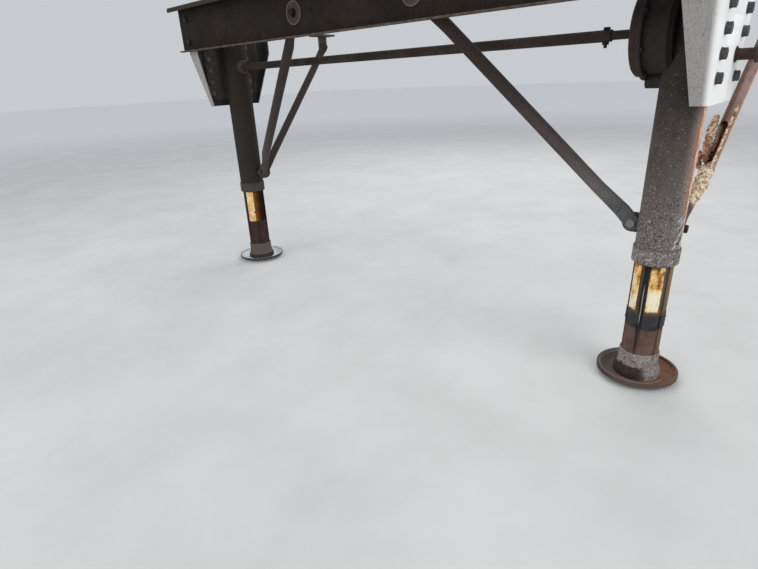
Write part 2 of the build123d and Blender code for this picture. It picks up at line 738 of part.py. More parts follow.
def cover_bolt_places():
    for step in range(COVER_BOLT_COUNT):
        angle = 2 * math.pi * (step + 0.5) / COVER_BOLT_COUNT
        yield COVER_BOLT_R * math.cos(angle), SHAFT_Z + COVER_BOLT_R * math.sin(angle)


def gear_case():
    """The deep half of the gearbox, which saddles the leg's tube."""
    flange_back = CASE_JOINT_Y + CASE_FLANGE
    case = turned([
        (0, CASE_JOINT_Y),
        (CASE_FLANGE_R, CASE_JOINT_Y),
        (CASE_FLANGE_R, flange_back),
        (CASE_R, flange_back),
        (CASE_R, CASE_BACK_Y - CASE_EDGE),
        (CASE_R - CASE_EDGE, CASE_BACK_Y),
        (0, CASE_BACK_Y),
    ])
    lobe_end = CASE_JOINT_Y + LOBE_DEPTH
    boss_end = CASE_JOINT_Y + LOW_BOSS_DEPTH
    case += rod(2 * LOBE_R, (INPUT_X, CASE_JOINT_Y, INPUT_Z), (INPUT_X, lobe_end, INPUT_Z))
    case += rod(
        2 * LOW_BOSS_R, (LOW_BOSS_X, CASE_JOINT_Y, LOW_BOSS_Z), (LOW_BOSS_X, boss_end, LOW_BOSS_Z)
    )
    reach = 2 * CASE_FLANGE_R
    case -= rod(TUBE_OD, (0, LEG_Y, SHAFT_Z - reach), (0, LEG_Y, SHAFT_Z + reach))
    stub_end = CASE_JOINT_Y + STUB_IN_CASE
    case -= rod(STUB_D + RUNNING_FIT, (0, CASE_JOINT_Y, SHAFT_Z), (0, stub_end, SHAFT_Z))
    input_start = CASE_JOINT_Y + INPUT_IN_CASE - INPUT_END_GAP
    case -= rod(
        INPUT_D + RUNNING_FIT, (INPUT_X, input_start, INPUT_Z), (INPUT_X, lobe_end + PAST, INPUT_Z)
    )
    for x, z in cover_bolt_places():
        case -= rod(COVER_BOLT_D, (x, CASE_JOINT_Y, z), (x, flange_back, z))
    return case


def gear_cover():
    """The inboard half of the gearbox: a shallow drum with a bolted rim and the shaft's hub."""
    face = CASE_JOINT_Y - COVER_DEPTH
    rim = CASE_JOINT_Y - COVER_FLANGE
    cover = turned([
        (0, CASE_JOINT_Y),
        (CASE_FLANGE_R, CASE_JOINT_Y),
        (CASE_FLANGE_R, rim),
        (COVER_R, rim),
        (COVER_R, face + COVER_EDGE),
        (COVER_R - COVER_EDGE, face),
        (HUB_R, face),
        (HUB_R, HUB_Y),
        (0, HUB_Y),
    ])
    cover -= rod(STUB_D + RUNNING_FIT, (0, HUB_Y - PAST, SHAFT_Z), (0, CASE_JOINT_Y + PAST, SHAFT_Z))
    for x, z in cover_bolt_places():
        cover -= rod(COVER_BOLT_D, (x, rim, z), (x, CASE_JOINT_Y, z))
    return cover


def cover_bolts():
    rim = CASE_JOINT_Y - COVER_FLANGE
    back = CASE_JOINT_Y + CASE_FLANGE
    bolts = []
    for x, z in cover_bolt_places():
        bolt = rod(COVER_BOLT_D, (x, rim, z), (x, back, z))
        head = Plane((x, back, z), z_dir=(0, 1, 0)) * RegularPolygon(COVER_BOLT_AF / math.sqrt(3), 6)
        bolts.append((bolt + extrude(head, COVER_BOLT_HEAD)).solid())
    return Compound(children=bolts)


# Cross shaft
def coupling_bolt_places():
    return {
        "left": PIPE_END_LEFT - COUPLING_BOLT_INSET,
        "right": PIPE_END_RIGHT + COUPLING_BOLT_INSET,
    }


def coupling_bolt_hole(y):
    return rod(COUPLING_BOLT_D, (0, y, SHAFT_Z - PIPE_OD), (0, y, SHAFT_Z + PIPE_OD))


def cross_shaft():
    pipe = rod(PIPE_OD, (0, PIPE_END_RIGHT, SHAFT_Z), (0, PIPE_END_LEFT, SHAFT_Z))
    pipe -= rod(STUB_D, (0, PIPE_END_RIGHT, SHAFT_Z), (0, PIPE_END_LEFT, SHAFT_Z))
    for y in coupling_bolt_places().values():
        pipe -= coupling_bolt_hole(y)
    return pipe


def shaft_stub(start, end, bolt_y):
    """A solid stub between two places along the cross shaft, drilled for its coupling bolt."""
    return rod(STUB_D, (0, start, SHAFT_Z), (0, end, SHAFT_Z)) - coupling_bolt_hole(bolt_y)


def coupling_bolt(y):
    reach = PIPE_OD / 2
    return hex_bolt(
        (0, y, SHAFT_Z + reach), (0, y, SHAFT_Z - reach),
        COUPLING_BOLT_D, COUPLING_BOLT_AF, COUPLING_BOLT_HEAD, tail=COUPLING_BOLT_TAIL,
    )


def shaft_bearing():
    """The boss on the right leg that the cross shaft turns in."""
    inner = BEARING_LENGTH - (LEG_Y - TUBE_R)
    boss = rod(BEARING_OD, (0, -LEG_Y, SHAFT_Z), (0, inner, SHAFT_Z))
    boss = chamfer(boss.edges().sort_by(Axis.Y)[-1], BEARING_CHAMFER)
    boss -= rod(TUBE_OD, (0, -LEG_Y, SHAFT_Z - BEARING_OD), (0, -LEG_Y, SHAFT_Z + BEARING_OD))
    boss -= rod(STUB_D + RUNNING_FIT, (0, -LEG_Y, SHAFT_Z), (0, inner + PAST, SHAFT_Z))
    return boss


# Input shaft and crank, on the left side
def input_shaft():
    start = CASE_JOINT_Y + INPUT_IN_CASE
    return rod(INPUT_D, (INPUT_X, start, INPUT_Z), (INPUT_X, KNUCKLE_ROOT_Y - KNUCKLE_FLOOR, INPUT_Z))


def input_bushing():
    sleeve = rod(BUSHING_OD, (INPUT_X, BUSHING_INNER_Y, INPUT_Z), (INPUT_X, BUSHING_OUTER_Y, INPUT_Z))
    sleeve -= rod(
        INPUT_D + RUNNING_FIT,
        (INPUT_X, BUSHING_INNER_Y - PAST, INPUT_Z),
        (INPUT_X, BUSHING_OUTER_Y + PAST, INPUT_Z),
    )
    rims = sleeve.edges().filter_by(GeomType.CIRCLE).sort_by(SortBy.RADIUS)[-2:]
    return chamfer(rims, BUSHING_CHAMFER)


def crank_knuckle():
    """The forked head on the input shaft: a socket, then two cheeks for the fold pin."""
    head = rod(KNUCKLE_OD, (INPUT_X, KNUCKLE_START_Y, INPUT_Z), (INPUT_X, KNUCKLE_ROOT_Y, INPUT_Z))
    socket_end = KNUCKLE_ROOT_Y - KNUCKLE_FLOOR
    head -= rod(INPUT_D, (INPUT_X, KNUCKLE_START_Y, INPUT_Z), (INPUT_X, socket_end, INPUT_Z))
    for side in (-1, 1):
        inner = side * FORK_GAP / 2
        outer = side * (FORK_GAP / 2 + FORK_CHEEK)
        cheek_z = INPUT_Z + (inner + outer) / 2
        length = FOLD_PIN_Y - KNUCKLE_ROOT_Y + FORK_SEAT
        cheek = Pos(INPUT_X, FOLD_PIN_Y - length / 2, cheek_z) * Box(2 * FORK_R, length, FORK_CHEEK)
        cheek += rod(
            2 * FORK_R, (INPUT_X, FOLD_PIN_Y, INPUT_Z + inner), (INPUT_X, FOLD_PIN_Y, INPUT_Z + outer)
        )
        head += cheek
    slot_depth = 2 * (FOLD_PIN_Y - KNUCKLE_ROOT_Y + FORK_R)
    head -= Pos(INPUT_X, KNUCKLE_ROOT_Y + slot_depth / 2, INPUT_Z) * Box(
        KNUCKLE_OD, slot_depth, FORK_GAP
    )
    return head - fold_pin_hole(FOLD_PIN_D)


def fold_pin_hole(diameter):
    return rod(
        diameter,
        (INPUT_X, FOLD_PIN_Y, INPUT_Z - KNUCKLE_OD),
        (INPUT_X, FOLD_PIN_Y, INPUT_Z + KNUCKLE_OD),
    )


def crank_pin():
    reach = FORK_GAP / 2 + FORK_CHEEK
    return hex_bolt(
        (INPUT_X, FOLD_PIN_Y, INPUT_Z + reach), (INPUT_X, FOLD_PIN_Y, INPUT_Z - reach),
        FOLD_PIN_D, COUPLING_BOLT_AF, COUPLING_BOLT_HEAD,
    )


def crank_handle():
    """A bent bar with a flat tongue: back along the trailer, down the throw, back to the grip."""
    tongue_height = FORK_GAP - 2 * TONGUE_CLEARANCE
    tongue_end = INPUT_X - TONGUE_REACH
    tongue = rod(
        TONGUE_OD,
        (INPUT_X, FOLD_PIN_Y, INPUT_Z - tongue_height / 2),
        (INPUT_X, FOLD_PIN_Y, INPUT_Z + tongue_height / 2),
    )
    tongue += Pos((INPUT_X + tongue_end) / 2, FOLD_PIN_Y, INPUT_Z) * Box(
        INPUT_X - tongue_end, HANDLE_D, tongue_height
    )
    route = FilletPolyline(
        (tongue_end + TONGUE_SEAT, FOLD_PIN_Y, INPUT_Z),
        (INPUT_X - HANDLE_ARM, FOLD_PIN_Y, INPUT_Z),
        (INPUT_X - HANDLE_ARM, FOLD_PIN_Y, INPUT_Z - HANDLE_THROW),
        (INPUT_X - HANDLE_ARM - HANDLE_GRIP, FOLD_PIN_Y, INPUT_Z - HANDLE_THROW),
        radius=HANDLE_BEND,
    )
    bar = sweep(Plane(route @ 0, z_dir=route % 0) * Circle(HANDLE_D / 2), path=route)
    return bar + tongue - fold_pin_hole(FOLD_PIN_D + RUNNING_FIT)


def crank_grip():
    """A sleeve on the end of the handle."""
    z = INPUT_Z - HANDLE_THROW
    end = INPUT_X - HANDLE_ARM - HANDLE_GRIP + GRIP_END_GAP
    sleeve = rod(GRIP_OD, (end, FOLD_PIN_Y, z), (end + GRIP_LENGTH, FOLD_PIN_Y, z))
    sleeve = chamfer(sleeve.edges().filter_by(GeomType.CIRCLE), GRIP_CHAMFER)
    return sleeve - rod(HANDLE_D, (end, FOLD_PIN_Y, z), (end + GRIP_LENGTH, FOLD_PIN_Y, z))


def drilled_right_tube():
    """The right outer tube, open where the cross shaft's stub goes in."""
    return mirror(outer_tube(), Plane.XZ) - rod(
        STUB_D + STUB_PASSAGE, (0, -LEG_Y, SHAFT_Z), (0, -(LEG_Y - TUBE_OD), SHAFT_Z)
    )


def main():
    os.makedirs("parts", exist_ok=True)
    paired = {
        "leg_collar": leg_collar(),
        "inner_tube": inner_tube(),
        "foot_boss": foot_boss(),
        "foot_pad": foot_pad(),
        "leg_cap": leg_cap(),
        "leg_lugs": leg_lugs(),
        "hanger_bolts": hanger_bolts(),
        "lateral_brace": lateral_brace(),
        "rear_bracket": rear_bracket(),
        "brace_bolts": brace_bolts(),
    }
    for name, shape in paired.items():
        for side_name, side in SIDES:
            save(f"{name}_{side_name}", mirrored(shape, side))
    for side_name, side in SIDES:
        has_input = side_name == "left"
        save(f"hanger_{side_name}", mirrored(hanger(has_input), side))
        save(f"mounting_plate_{side_name}", mirrored(mounting_plate(has_input), side))
    save("rear_brace_left", rusted_rear_brace())
    save("rear_brace_right", mirrored(rear_brace(), -1))
    save("outer_tube_left", outer_tube())
    save("outer_tube_right", drilled_right_tube())
    save("cross_beam", cross_beam())
    save("beam_bolts", beam_bolts())
    save("gear_case", gear_case())
    save("gear_cover", gear_cover())
    save("cover_bolts", cover_bolts())
    bolts = coupling_bolt_places()
    save("cross_shaft", cross_shaft())
    save("shaft_stub_left", shaft_stub(
        PIPE_END_LEFT - STUB_IN_PIPE, CASE_JOINT_Y + STUB_IN_CASE - STUB_END_GAP, bolts["left"]
    ))
    save("shaft_stub_right", shaft_stub(
        -(LEG_Y - TUBE_R + STUB_IN_BEARING), PIPE_END_RIGHT + STUB_IN_PIPE, bolts["right"]
    ))
    for side_name, y in bolts.items():
        save(f"coupling_bolt_{side_name}", coupling_bolt(y))
    save("shaft_bearing", shaft_bearing())
    save("input_shaft", input_shaft())
    save("input_bushing", input_bushing())
    save("crank_knuckle", crank_knuckle())
    save("crank_pin", crank_pin())
    save("crank_handle", crank_handle())
    save("crank_grip", crank_grip())


main()
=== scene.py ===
import math
import random

import bmesh
import bpy
from mathutils import Matrix, Vector, noise


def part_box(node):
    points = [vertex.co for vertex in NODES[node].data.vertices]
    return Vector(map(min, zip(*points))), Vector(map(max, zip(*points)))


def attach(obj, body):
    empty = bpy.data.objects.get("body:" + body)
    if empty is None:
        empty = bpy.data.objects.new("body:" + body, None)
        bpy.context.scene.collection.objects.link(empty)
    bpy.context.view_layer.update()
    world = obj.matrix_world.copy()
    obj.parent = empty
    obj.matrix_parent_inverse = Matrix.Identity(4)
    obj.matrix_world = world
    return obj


# Landing gear of a semi trailer, hung from its cross beam. Metres, with X forward, Y to the left
# and Z up. The origin is the middle of the beam's top face, and the ground is below it.

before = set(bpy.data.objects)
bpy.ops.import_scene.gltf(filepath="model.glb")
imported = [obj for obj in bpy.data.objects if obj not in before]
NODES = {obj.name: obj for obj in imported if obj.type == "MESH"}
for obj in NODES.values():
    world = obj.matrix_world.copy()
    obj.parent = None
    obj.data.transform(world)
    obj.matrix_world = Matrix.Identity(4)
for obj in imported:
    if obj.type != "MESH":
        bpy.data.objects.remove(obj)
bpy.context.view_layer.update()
ROOT = "landing_gear"

# The photograph's camera
IMAGE_WIDTH = 758
FOCAL_PIXELS = 503.9
SENSOR_WIDTH = 36.0
CAMERA_YAW = 3.8873
CAMERA_PITCH = 0.3884
CAMERA_ROLL = 0.0476
CAMERA_PLACE = (1.4536, 1.4578, -0.366)
NEAREST_SEEN = 0.05

# Plain soft light. Each lamp has a name, a place, what it aims at and its power in watts.
SKY_COLOUR = (0.93, 0.96, 1.0)
SKY_STRENGTH = 0.62
LAMP_SIZE = 3.6
LAMPS = (
    ("key", (0.6, 5.0, 1.6), (-0.2, 0.4, -0.6), 106),
    ("fill", (4.2, -1.2, 0.8), (-0.2, 0.0, -0.7), 80),
    ("back", (-3.8, -1.4, 3.0), (-0.2, 0.0, -0.6), 110),
)

# The floor, paler far away, where the lamps don't reach, so that no dark band shows at the horizon
FLOOR_HALF = 40.0
FLOOR_DARK = (0.60, 0.60, 0.59)
FLOOR_LIGHT = (0.66, 0.66, 0.65)
FLOOR_FAR = (0.90, 0.91, 0.93)
FAR_START = 4.0
FAR_FULL = 14.0

# Places on the gear
LEG_BACK_MM = 247.5
HEIGHT_MM = 1355.0
LEG_X = -LEG_BACK_MM / 1000
LEG_Y = 1.087
GROUND_TO_TOP = HEIGHT_MM / 1000
GROUND_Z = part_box("foot_pad_left")[0][2]
COLLAR_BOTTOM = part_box("leg_collar_left")[0][2]
COLLAR_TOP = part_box("leg_collar_left")[1][2]
HANGER_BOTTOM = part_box("hanger_left")[0][2]
HANGER_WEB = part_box("hanger_left")[1][1]
HANGER_KNEE = -0.210
HANGER_BEND = 0.024
HANGER_FRONT = -0.1075
HANGER_REAR = -0.4025
FRONT_GROWTH = 0.075
REAR_GROWTH = 0.080
BEAM_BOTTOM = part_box("cross_beam")[0][2]
LIP_FRONT = 0.0325
TUBE_R = 0.0635
INNER_R = 0.05715
ROUND_PLATE_Y = 0.300
ROUND_PLATE_Z = -0.110

# The middle and the half size of each paler place on the left hanger's web
PLATE_MARKS = (
    (-0.275, -0.268, 0.062, 0.013),
    (-0.255, -0.309, 0.078, 0.017),
)

# The slanted scrapes on the left outer tube: their slope and how high they reach
SCRAPE_ACROSS = 0.62
SCRAPE_UP = 0.78
SCRAPE_TOP = -0.785

# Heights on the sliding tubes. All but the last are on the left one.
CREAM_TOP = -0.96
CREAM_FOOT = -1.100
GREASE_TOP = -1.108
SOOT_TOP = -1.109
GREASE_FOOT = -1.148
GROOVE_END = -1.15
SOOT_FOOT = -1.166
DRIP_END = -1.245
FAR_COAT_FOOT = -1.117


def from_ground(x, y, z):
    """The place of a point that is given in millimetres from the ground midway between the feet."""
    return Vector((x - LEG_BACK_MM, y, z - HEIGHT_MM)) / 1000


# The left rear brace: its low bolt, the way up it, and the way that its rusted side faces
BRACE_LOW = from_ground(-118.0, 1121.0, 495.0)
BRACE_RUN = (from_ground(-745.0, 1184.5, 1188.0) - BRACE_LOW).normalized()
BRACE_OPEN = Vector((0.55, -0.70, 0.45))
BRACE_OPEN = (BRACE_OPEN - BRACE_RUN * BRACE_OPEN.dot(BRACE_RUN)).normalized()
BRACE_SIDE = BRACE_RUN.cross(BRACE_OPEN)

# The way that the torn pipe wall faces, between the open side and the next, and the way across it
BRACE_VIEW = math.radians(57.6)
BRACE_FRONT = BRACE_OPEN * math.cos(BRACE_VIEW) + BRACE_SIDE * math.sin(BRACE_VIEW)
BRACE_ASIDE = BRACE_OPEN * math.sin(BRACE_VIEW) - BRACE_SIDE * math.cos(BRACE_VIEW)

# The brace's radius, and the flat tab at its low end, which becomes a round pipe further up
BRACE_R = 0.0211
TAB_END = 0.050
TAB_HALF = 0.006
PIPE_START = 0.160


# Camera and light
def make_camera():
    forward = Vector((
        math.cos(CAMERA_YAW) * math.cos(CAMERA_PITCH),
        math.sin(CAMERA_YAW) * math.cos(CAMERA_PITCH),
        -math.sin(CAMERA_PITCH),
    ))
    right = forward.cross(Vector((0, 0, 1))).normalized()
    down = forward.cross(right)
    rolled_right = math.cos(CAMERA_ROLL) * right + math.sin(CAMERA_ROLL) * down
    rolled_down = math.cos(CAMERA_ROLL) * down - math.sin(CAMERA_ROLL) * right
    data = bpy.data.cameras.new("camera")
    data.sensor_fit = "HORIZONTAL"
    data.sensor_width = SENSOR_WIDTH
    data.lens = FOCAL_PIXELS / IMAGE_WIDTH * SENSOR_WIDTH
    data.clip_start = NEAREST_SEEN
    camera = bpy.data.objects.new("camera", data)
    turn = Matrix((rolled_right, -rolled_down, -forward)).transposed().to_4x4()
    camera.matrix_world = Matrix.Translation(CAMERA_PLACE) @ turn
    bpy.context.scene.collection.objects.link(camera)
    bpy.context.scene.camera = camera


def make_lamps():
    for name, place, aim, power in LAMPS:
        data = bpy.data.lights.new(name, "AREA")
        data.shape = "SQUARE"
        data.size = LAMP_SIZE
        data.energy = power
        lamp = bpy.data.objects.new(name, data)
        lamp.location = place
        lamp.rotation_euler = (Vector(aim) - Vector(place)).to_track_quat("-Z", "Y").to_euler()
        bpy.context.scene.collection.objects.link(lamp)


def make_world():
    world = bpy.data.worlds.new("studio")
    bpy.context.scene.world = world
    world.use_nodes = True
    background = world.node_tree.nodes["Background"]
    background.inputs["Color"].default_value = (*SKY_COLOUR, 1.0)
    background.inputs["Strength"].default_value = SKY_STRENGTH


def floor_material():
    paint = Shader("floor_paint")
    near = paint.ramp(paint.noise(2.2, detail=4), ((0.35, FLOOR_DARK), (0.65, FLOOR_LIGHT)))
    away = paint.length(paint.x, paint.y)
    paint.colour(paint.mix(paint.step(away, FAR_START, FAR_FULL), near, FLOOR_FAR))
    paint.fixed(Roughness=0.9)
    return paint.material


def make_floor():
    mesh = bpy.data.meshes.new("floor")
    corners = [
        (x * FLOOR_HALF, y * FLOOR_HALF, GROUND_Z) for x, y in ((-1, -1), (1, -1), (1, 1), (-1, 1))
    ]
    mesh.from_pydata(corners, [], [(0, 1, 2, 3)])
    floor = bpy.data.objects.new("floor", mesh)
    bpy.context.scene.collection.objects.link(floor)
    mesh.materials.append(floor_material())


# Procedural materials
class Shader:
    """A small builder for node materials. Every pattern is laid in the part's own coordinates."""

    def __init__(self, name):
        self.material = bpy.data.materials.new(name)
        self.material.use_nodes = True
        self.tree = self.material.node_tree
        self.nodes = self.tree.nodes
        self.surface = self.nodes["Principled BSDF"]
        self.place = self.nodes.new("ShaderNodeTexCoord").outputs["Object"]
        split = self.nodes.new("ShaderNodeSeparateXYZ")
        self.link(self.place, split.inputs["Vector"])
        self.x, self.y, self.z = (split.outputs[axis] for axis in "XYZ")

    def link(self, source, target):
        self.tree.links.new(source, target)

    def put(self, socket, value):
        if hasattr(value, "is_linked"):
            self.link(value, socket)
        else:
            socket.default_value = value

    def fixed(self, **values):
        """Set sockets of the shader that are the same all over the surface."""
        for name, value in values.items():
            self.surface.inputs[name.replace("_", " ")].default_value = value

    # Arithmetic
    def maths(self, kind, first, second=0.0):
        node = self.nodes.new("ShaderNodeMath")
        node.operation = kind
        self.put(node.inputs[0], first)
        self.put(node.inputs[1], second)
        return node.outputs["Value"]

    def plus(self, first, second):
        return self.maths("ADD", first, second)

    def less(self, first, second):
        return self.maths("SUBTRACT", first, second)

    def times(self, first, *others):
        for other in others:
            first = self.maths("MULTIPLY", first, other)
        return first

    def either(self, first, second):
        return self.maths("MAXIMUM", first, second)

    def length(self, across, along):
        squares = self.plus(self.times(across, across), self.times(along, along))
        return self.maths("SQRT", squares)

    # Places
    def joined(self, x, y, z):
        node = self.nodes.new("ShaderNodeCombineXYZ")
        for socket, value in zip(node.inputs, (x, y, z)):
            self.put(socket, value)
        return node.outputs["Vector"]

    def stretched(self, x, y, z):
        return self.joined(self.times(self.x, x), self.times(self.y, y), self.times(self.z, z))

    def along(self, origin, direction):
        """How far a point lies from origin in a direction."""
        node = self.nodes.new("ShaderNodeVectorMath")
        node.operation = "DOT_PRODUCT"
        self.link(self.place, node.inputs[0])
        node.inputs[1].default_value = direction
        return self.less(node.outputs["Value"], Vector(origin).dot(direction))

    def degrees(self, across, along):
        return self.times(self.maths("ARCTAN2", across, along), math.degrees(1.0))

    def azimuth(self, leg_y):
        """The direction from a leg's axis, in degrees: 0 is forward and 90 is to the left."""
        return self.degrees(self.less(self.y, leg_y), self.less(self.x, LEG_X))

    def radius(self, leg_y):
        return self.length(self.less(self.x, LEG_X), self.less(self.y, leg_y))

    def on_left(self):
        return self.step(self.y, 0.0, 0.1)

    def on_right(self):
        return self.step(self.y, 0.1, 0.0)

    # Patterns
    def noise(self, scale, detail=5, rough=0.6, place=None, warp=0.0):
        node = self.nodes.new("ShaderNodeTexNoise")
        self.link(place or self.place, node.inputs["Vector"])
        node.inputs["Scale"].default_value = scale
        node.inputs["Detail"].default_value = detail
        node.inputs["Roughness"].default_value = rough
        node.inputs["Distortion"].default_value = warp
        return node.outputs["Fac"]

    def specks(self, scale, size):
        """Small round marks: 1 inside a mark and 0 outside."""
        node = self.nodes.new("ShaderNodeTexVoronoi")
        self.link(self.place, node.inputs["Vector"])
        node.inputs["Scale"].default_value = scale
        return self.step(node.outputs["Distance"], size, size * 0.5)

    def rise(self, value, low, high, kind="LINEAR"):
        """0 below low and 1 above high, with a straight slope between them."""
        node = self.nodes.new("ShaderNodeMapRange")
        node.interpolation_type = kind
        self.put(node.inputs["Value"], value)
        node.inputs["From Min"].default_value = low
        node.inputs["From Max"].default_value = high
        return node.outputs["Result"]

    def step(self, value, low, high):
        """0 below low and 1 above high, or the other way round when low is the larger."""
        return self.rise(value, low, high, "SMOOTHSTEP")

    def band(self, value, low, high, soft):
        """1 between low and high, and 0 outside them."""
        rise = self.step(value, low - soft, low + soft)
        return self.times(rise, self.step(value, high + soft, high - soft))

    def patches(self, scale, low, high, detail=5, rough=0.6, place=None):
        """Uneven patches: 0 where a noise is below low and 1 where it is above high."""
        return self.step(self.noise(scale, detail, rough, place), low, high)

    def ragged(self, value, amount, scale):
        """A value moved up and down by up to about amount, so that what it bounds is uneven."""
        shift = self.times(self.less(self.noise(scale, 5, 0.7), 0.5), amount * 3.0)
        return self.plus(value, shift)

    # Colours
    def ramp(self, value, stops):
        node = self.nodes.new("ShaderNodeValToRGB")
        self.put(node.inputs["Fac"], value)
        elements = node.color_ramp.elements
        while len(elements) < len(stops):
            elements.new(0.5)
        for element, (place, colour) in zip(elements, stops):
            element.position = place
            element.color = (*colour, 1.0)
        return node.outputs["Color"]

    def mix(self, amount, below, above):
        node = self.nodes.new("ShaderNodeMix")
        node.data_type = "RGBA"
        self.put(node.inputs["Factor"], amount)
        self.put(node.inputs["A"], (*below, 1.0) if isinstance(below, tuple) else below)
        self.put(node.inputs["B"], (*above, 1.0) if isinstance(above, tuple) else above)
        return node.outputs["Result"]

    def lay(self, colour, *shares):
        """Lay a colour over what the surface has so far, as far as all its shares together say."""
        self.tone = self.mix(self.times(*shares), self.tone, colour)

    def colour(self, value):
        self.put(self.surface.inputs["Base Color"], value)

    def dry(self):
        """The roughness of a dry surface."""
        return self.step(self.fine, -1.2, 1.0)

    def bump(self, height, depth):
        node = self.nodes.new("ShaderNodeBump")
        node.inputs["Distance"].default_value = depth
        self.put(node.inputs["Height"], height)
        self.link(node.outputs["Normal"], self.surface.inputs["Normal"])

    def done(self, depth=0.0010, specular=0.25, roughness=None):
        """Finish a weathered surface with its colour, its roughness and its relief."""
        self.colour(self.tone)
        self.put(self.surface.inputs["Roughness"], roughness or self.dry())
        self.fixed(Specular_IOR_Level=specular)
        self.bump(self.plus(self.times(self.fine, 0.6), self.times(self.rusty, 0.4)), depth)
        return self.material


RUST = (0.16, 0.060, 0.026)
GRIT = (0.25, 0.235, 0.22)


def scaled(colour, amount):
    return tuple(amount * part for part in colour)


def bare_coat(name, rust_share):
    """A coat's fine grain and the places where rust blooms, before it has a colour."""
    coat = Shader(name)
    coat.fine = coat.noise(120.0, detail=6, rough=0.72)
    bloom = coat.ragged(coat.noise(13.0, detail=7, rough=0.7, warp=0.5), 0.05, 160.0)
    coat.rusty = coat.step(bloom, 1.0 - rust_share, 1.14 - rust_share)
    return coat


def weathered(name, light, dark, rust=RUST, rust_share=0.36, grit=0.3):
    """Old paint on steel: uneven tone, fine mottling, rust blooms and pale grit."""
    coat = bare_coat(name, rust_share)
    coat.tone = coat.ramp(coat.noise(6.0, detail=6, warp=0.4), ((0.34, dark), (0.66, light)))
    mottle = coat.noise(48.0, detail=6, rough=0.7)
    coat.lay(scaled(dark, 0.45), coat.step(mottle, 0.50, 0.72), 0.55)
    coat.lay(scaled(light, 1.5), coat.step(mottle, 0.46, 0.28), 0.35)
    rust_tone = coat.ramp(coat.fine, ((0.32, scaled(rust, 0.55)), (0.70, scaled(rust, 1.6))))
    coat.lay(rust_tone, coat.rusty, 0.85)
    coat.lay(GRIT, coat.specks(210.0, 0.30), coat.patches(9.0, 0.40, 0.62, detail=3), grit)
    return coat


# The coats of single pieces. Heights are in metres, and directions round a leg are in degrees.
def add_rust_run_and_lit_side(coat, turn, near):
    """The outboard side of the near tube, warmed with painted light, and the rust that has run down it
    from the hanger, partly a painted highlight along its lit edge.
    """
    # Painted light: the outboard side is laid warmer and paler where it faces the light
    lit_side_height = coat.band(coat.z, -0.80, -0.40, 0.07)
    coat.lay((0.38, 0.255, 0.215), coat.band(turn, 60.0, 150.0, 24.0), near, lit_side_height, 0.8)
    edge = coat.plus(turn, coat.times(coat.less(coat.z, HANGER_BOTTOM), 20.0))
    # Painted light: a warm halo beside the lit edge of the run
    lit_halo = coat.band(coat.ragged(edge, 6.0, 26.0), 62.0, 84.0, 7.0)
    coat.lay((0.30, 0.125, 0.055), lit_halo, near, coat.band(coat.z, -0.80, -0.52, 0.05), 0.45)
    wander = coat.times(coat.less(coat.noise(9.0, place=coat.stretched(1.0, 1.0, 0.3)), 0.5), 90.0)
    after_edge = coat.step(coat.ragged(edge, 4.0, 40.0), 73.0, 77.0)
    before_end = coat.step(coat.plus(edge, wander), 119.0, 103.0)
    below_hanger = coat.step(coat.z, HANGER_BOTTOM + 0.012, HANGER_BOTTOM - 0.004)
    # The run's colours are rust, and the palest of them is a painted highlight
    tone = coat.ramp(coat.noise(64.0, detail=6, rough=0.7, place=coat.stretched(1.0, 1.0, 0.30)), (
        (0.34, (0.34, 0.12, 0.050)),
        (0.48, (0.64, 0.31, 0.19)),
        (0.64, (0.86, 0.66, 0.54)),
    ))
    coat.lay(tone, after_edge, before_end, near, below_hanger, 0.92)


def add_tube_dust(coat, low, near):
    """Pale dust and dark grime, most of it low down."""
    dust = coat.plus(coat.noise(190.0, detail=3), coat.times(low, 0.090))
    coat.lay((0.40, 0.385, 0.375), coat.step(dust, 0.650, 0.71), near, 0.8)
    specks = coat.noise(150.0, detail=3, place=coat.stretched(1.0, 1.0, 0.8))
    grime = coat.step(coat.plus(specks, coat.times(low, 0.06)), 0.61, 0.67)
    coat.lay((0.022, 0.020, 0.019), grime, 0.8)


def add_scrapes(coat, turn, near):
    """Slanted scrapes at the foot of the near tube."""
    arc = coat.times(turn, math.radians(TUBE_R))
    uphill = coat.plus(coat.times(arc, SCRAPE_ACROSS), coat.times(coat.z, SCRAPE_UP))
    across = coat.less(coat.times(coat.z, SCRAPE_ACROSS), coat.times(arc, SCRAPE_UP))
    drawn_out = coat.joined(coat.times(uphill, 22.0), coat.times(across, 150.0), 3.0)
    streak = coat.patches(1.0, 0.53, 0.58, detail=3, place=drawn_out)
    where = coat.times(
        coat.band(turn, 52.0, 118.0, 8.0), coat.band(coat.z, COLLAR_BOTTOM, SCRAPE_TOP, 0.02), near
    )
    coat.lay((0.52, 0.54, 0.57), streak, where, 0.95)


def tube_material():
    coat = weathered(
        "leg_tube", (0.096, 0.079, 0.071), (0.060, 0.049, 0.044), rust_share=0.28, grit=0.25
    )
    turn = coat.azimuth(LEG_Y)
    near = coat.on_left()
    # Dirt greyer and thicker towards the ground, painted shade under the hanger, and painted shade all
    # over the right tube
    low = coat.step(coat.z, -0.56, -0.90)
    coat.lay((0.160, 0.141, 0.131), low, near, 0.7)
    shade_under_hanger = coat.step(coat.z, HANGER_BOTTOM - 0.20, HANGER_BOTTOM + 0.08)
    coat.lay((0.022, 0.018, 0.016), shade_under_hanger, 0.85)
    # Painted shade: the right tube darkened all over
    coat.lay((0.019, 0.0150, 0.0125), coat.on_right(), 0.9)
    add_rust_run_and_lit_side(coat, turn, near)
    add_tube_dust(coat, low, near)
    add_scrapes(coat, turn, near)
    return coat.done()


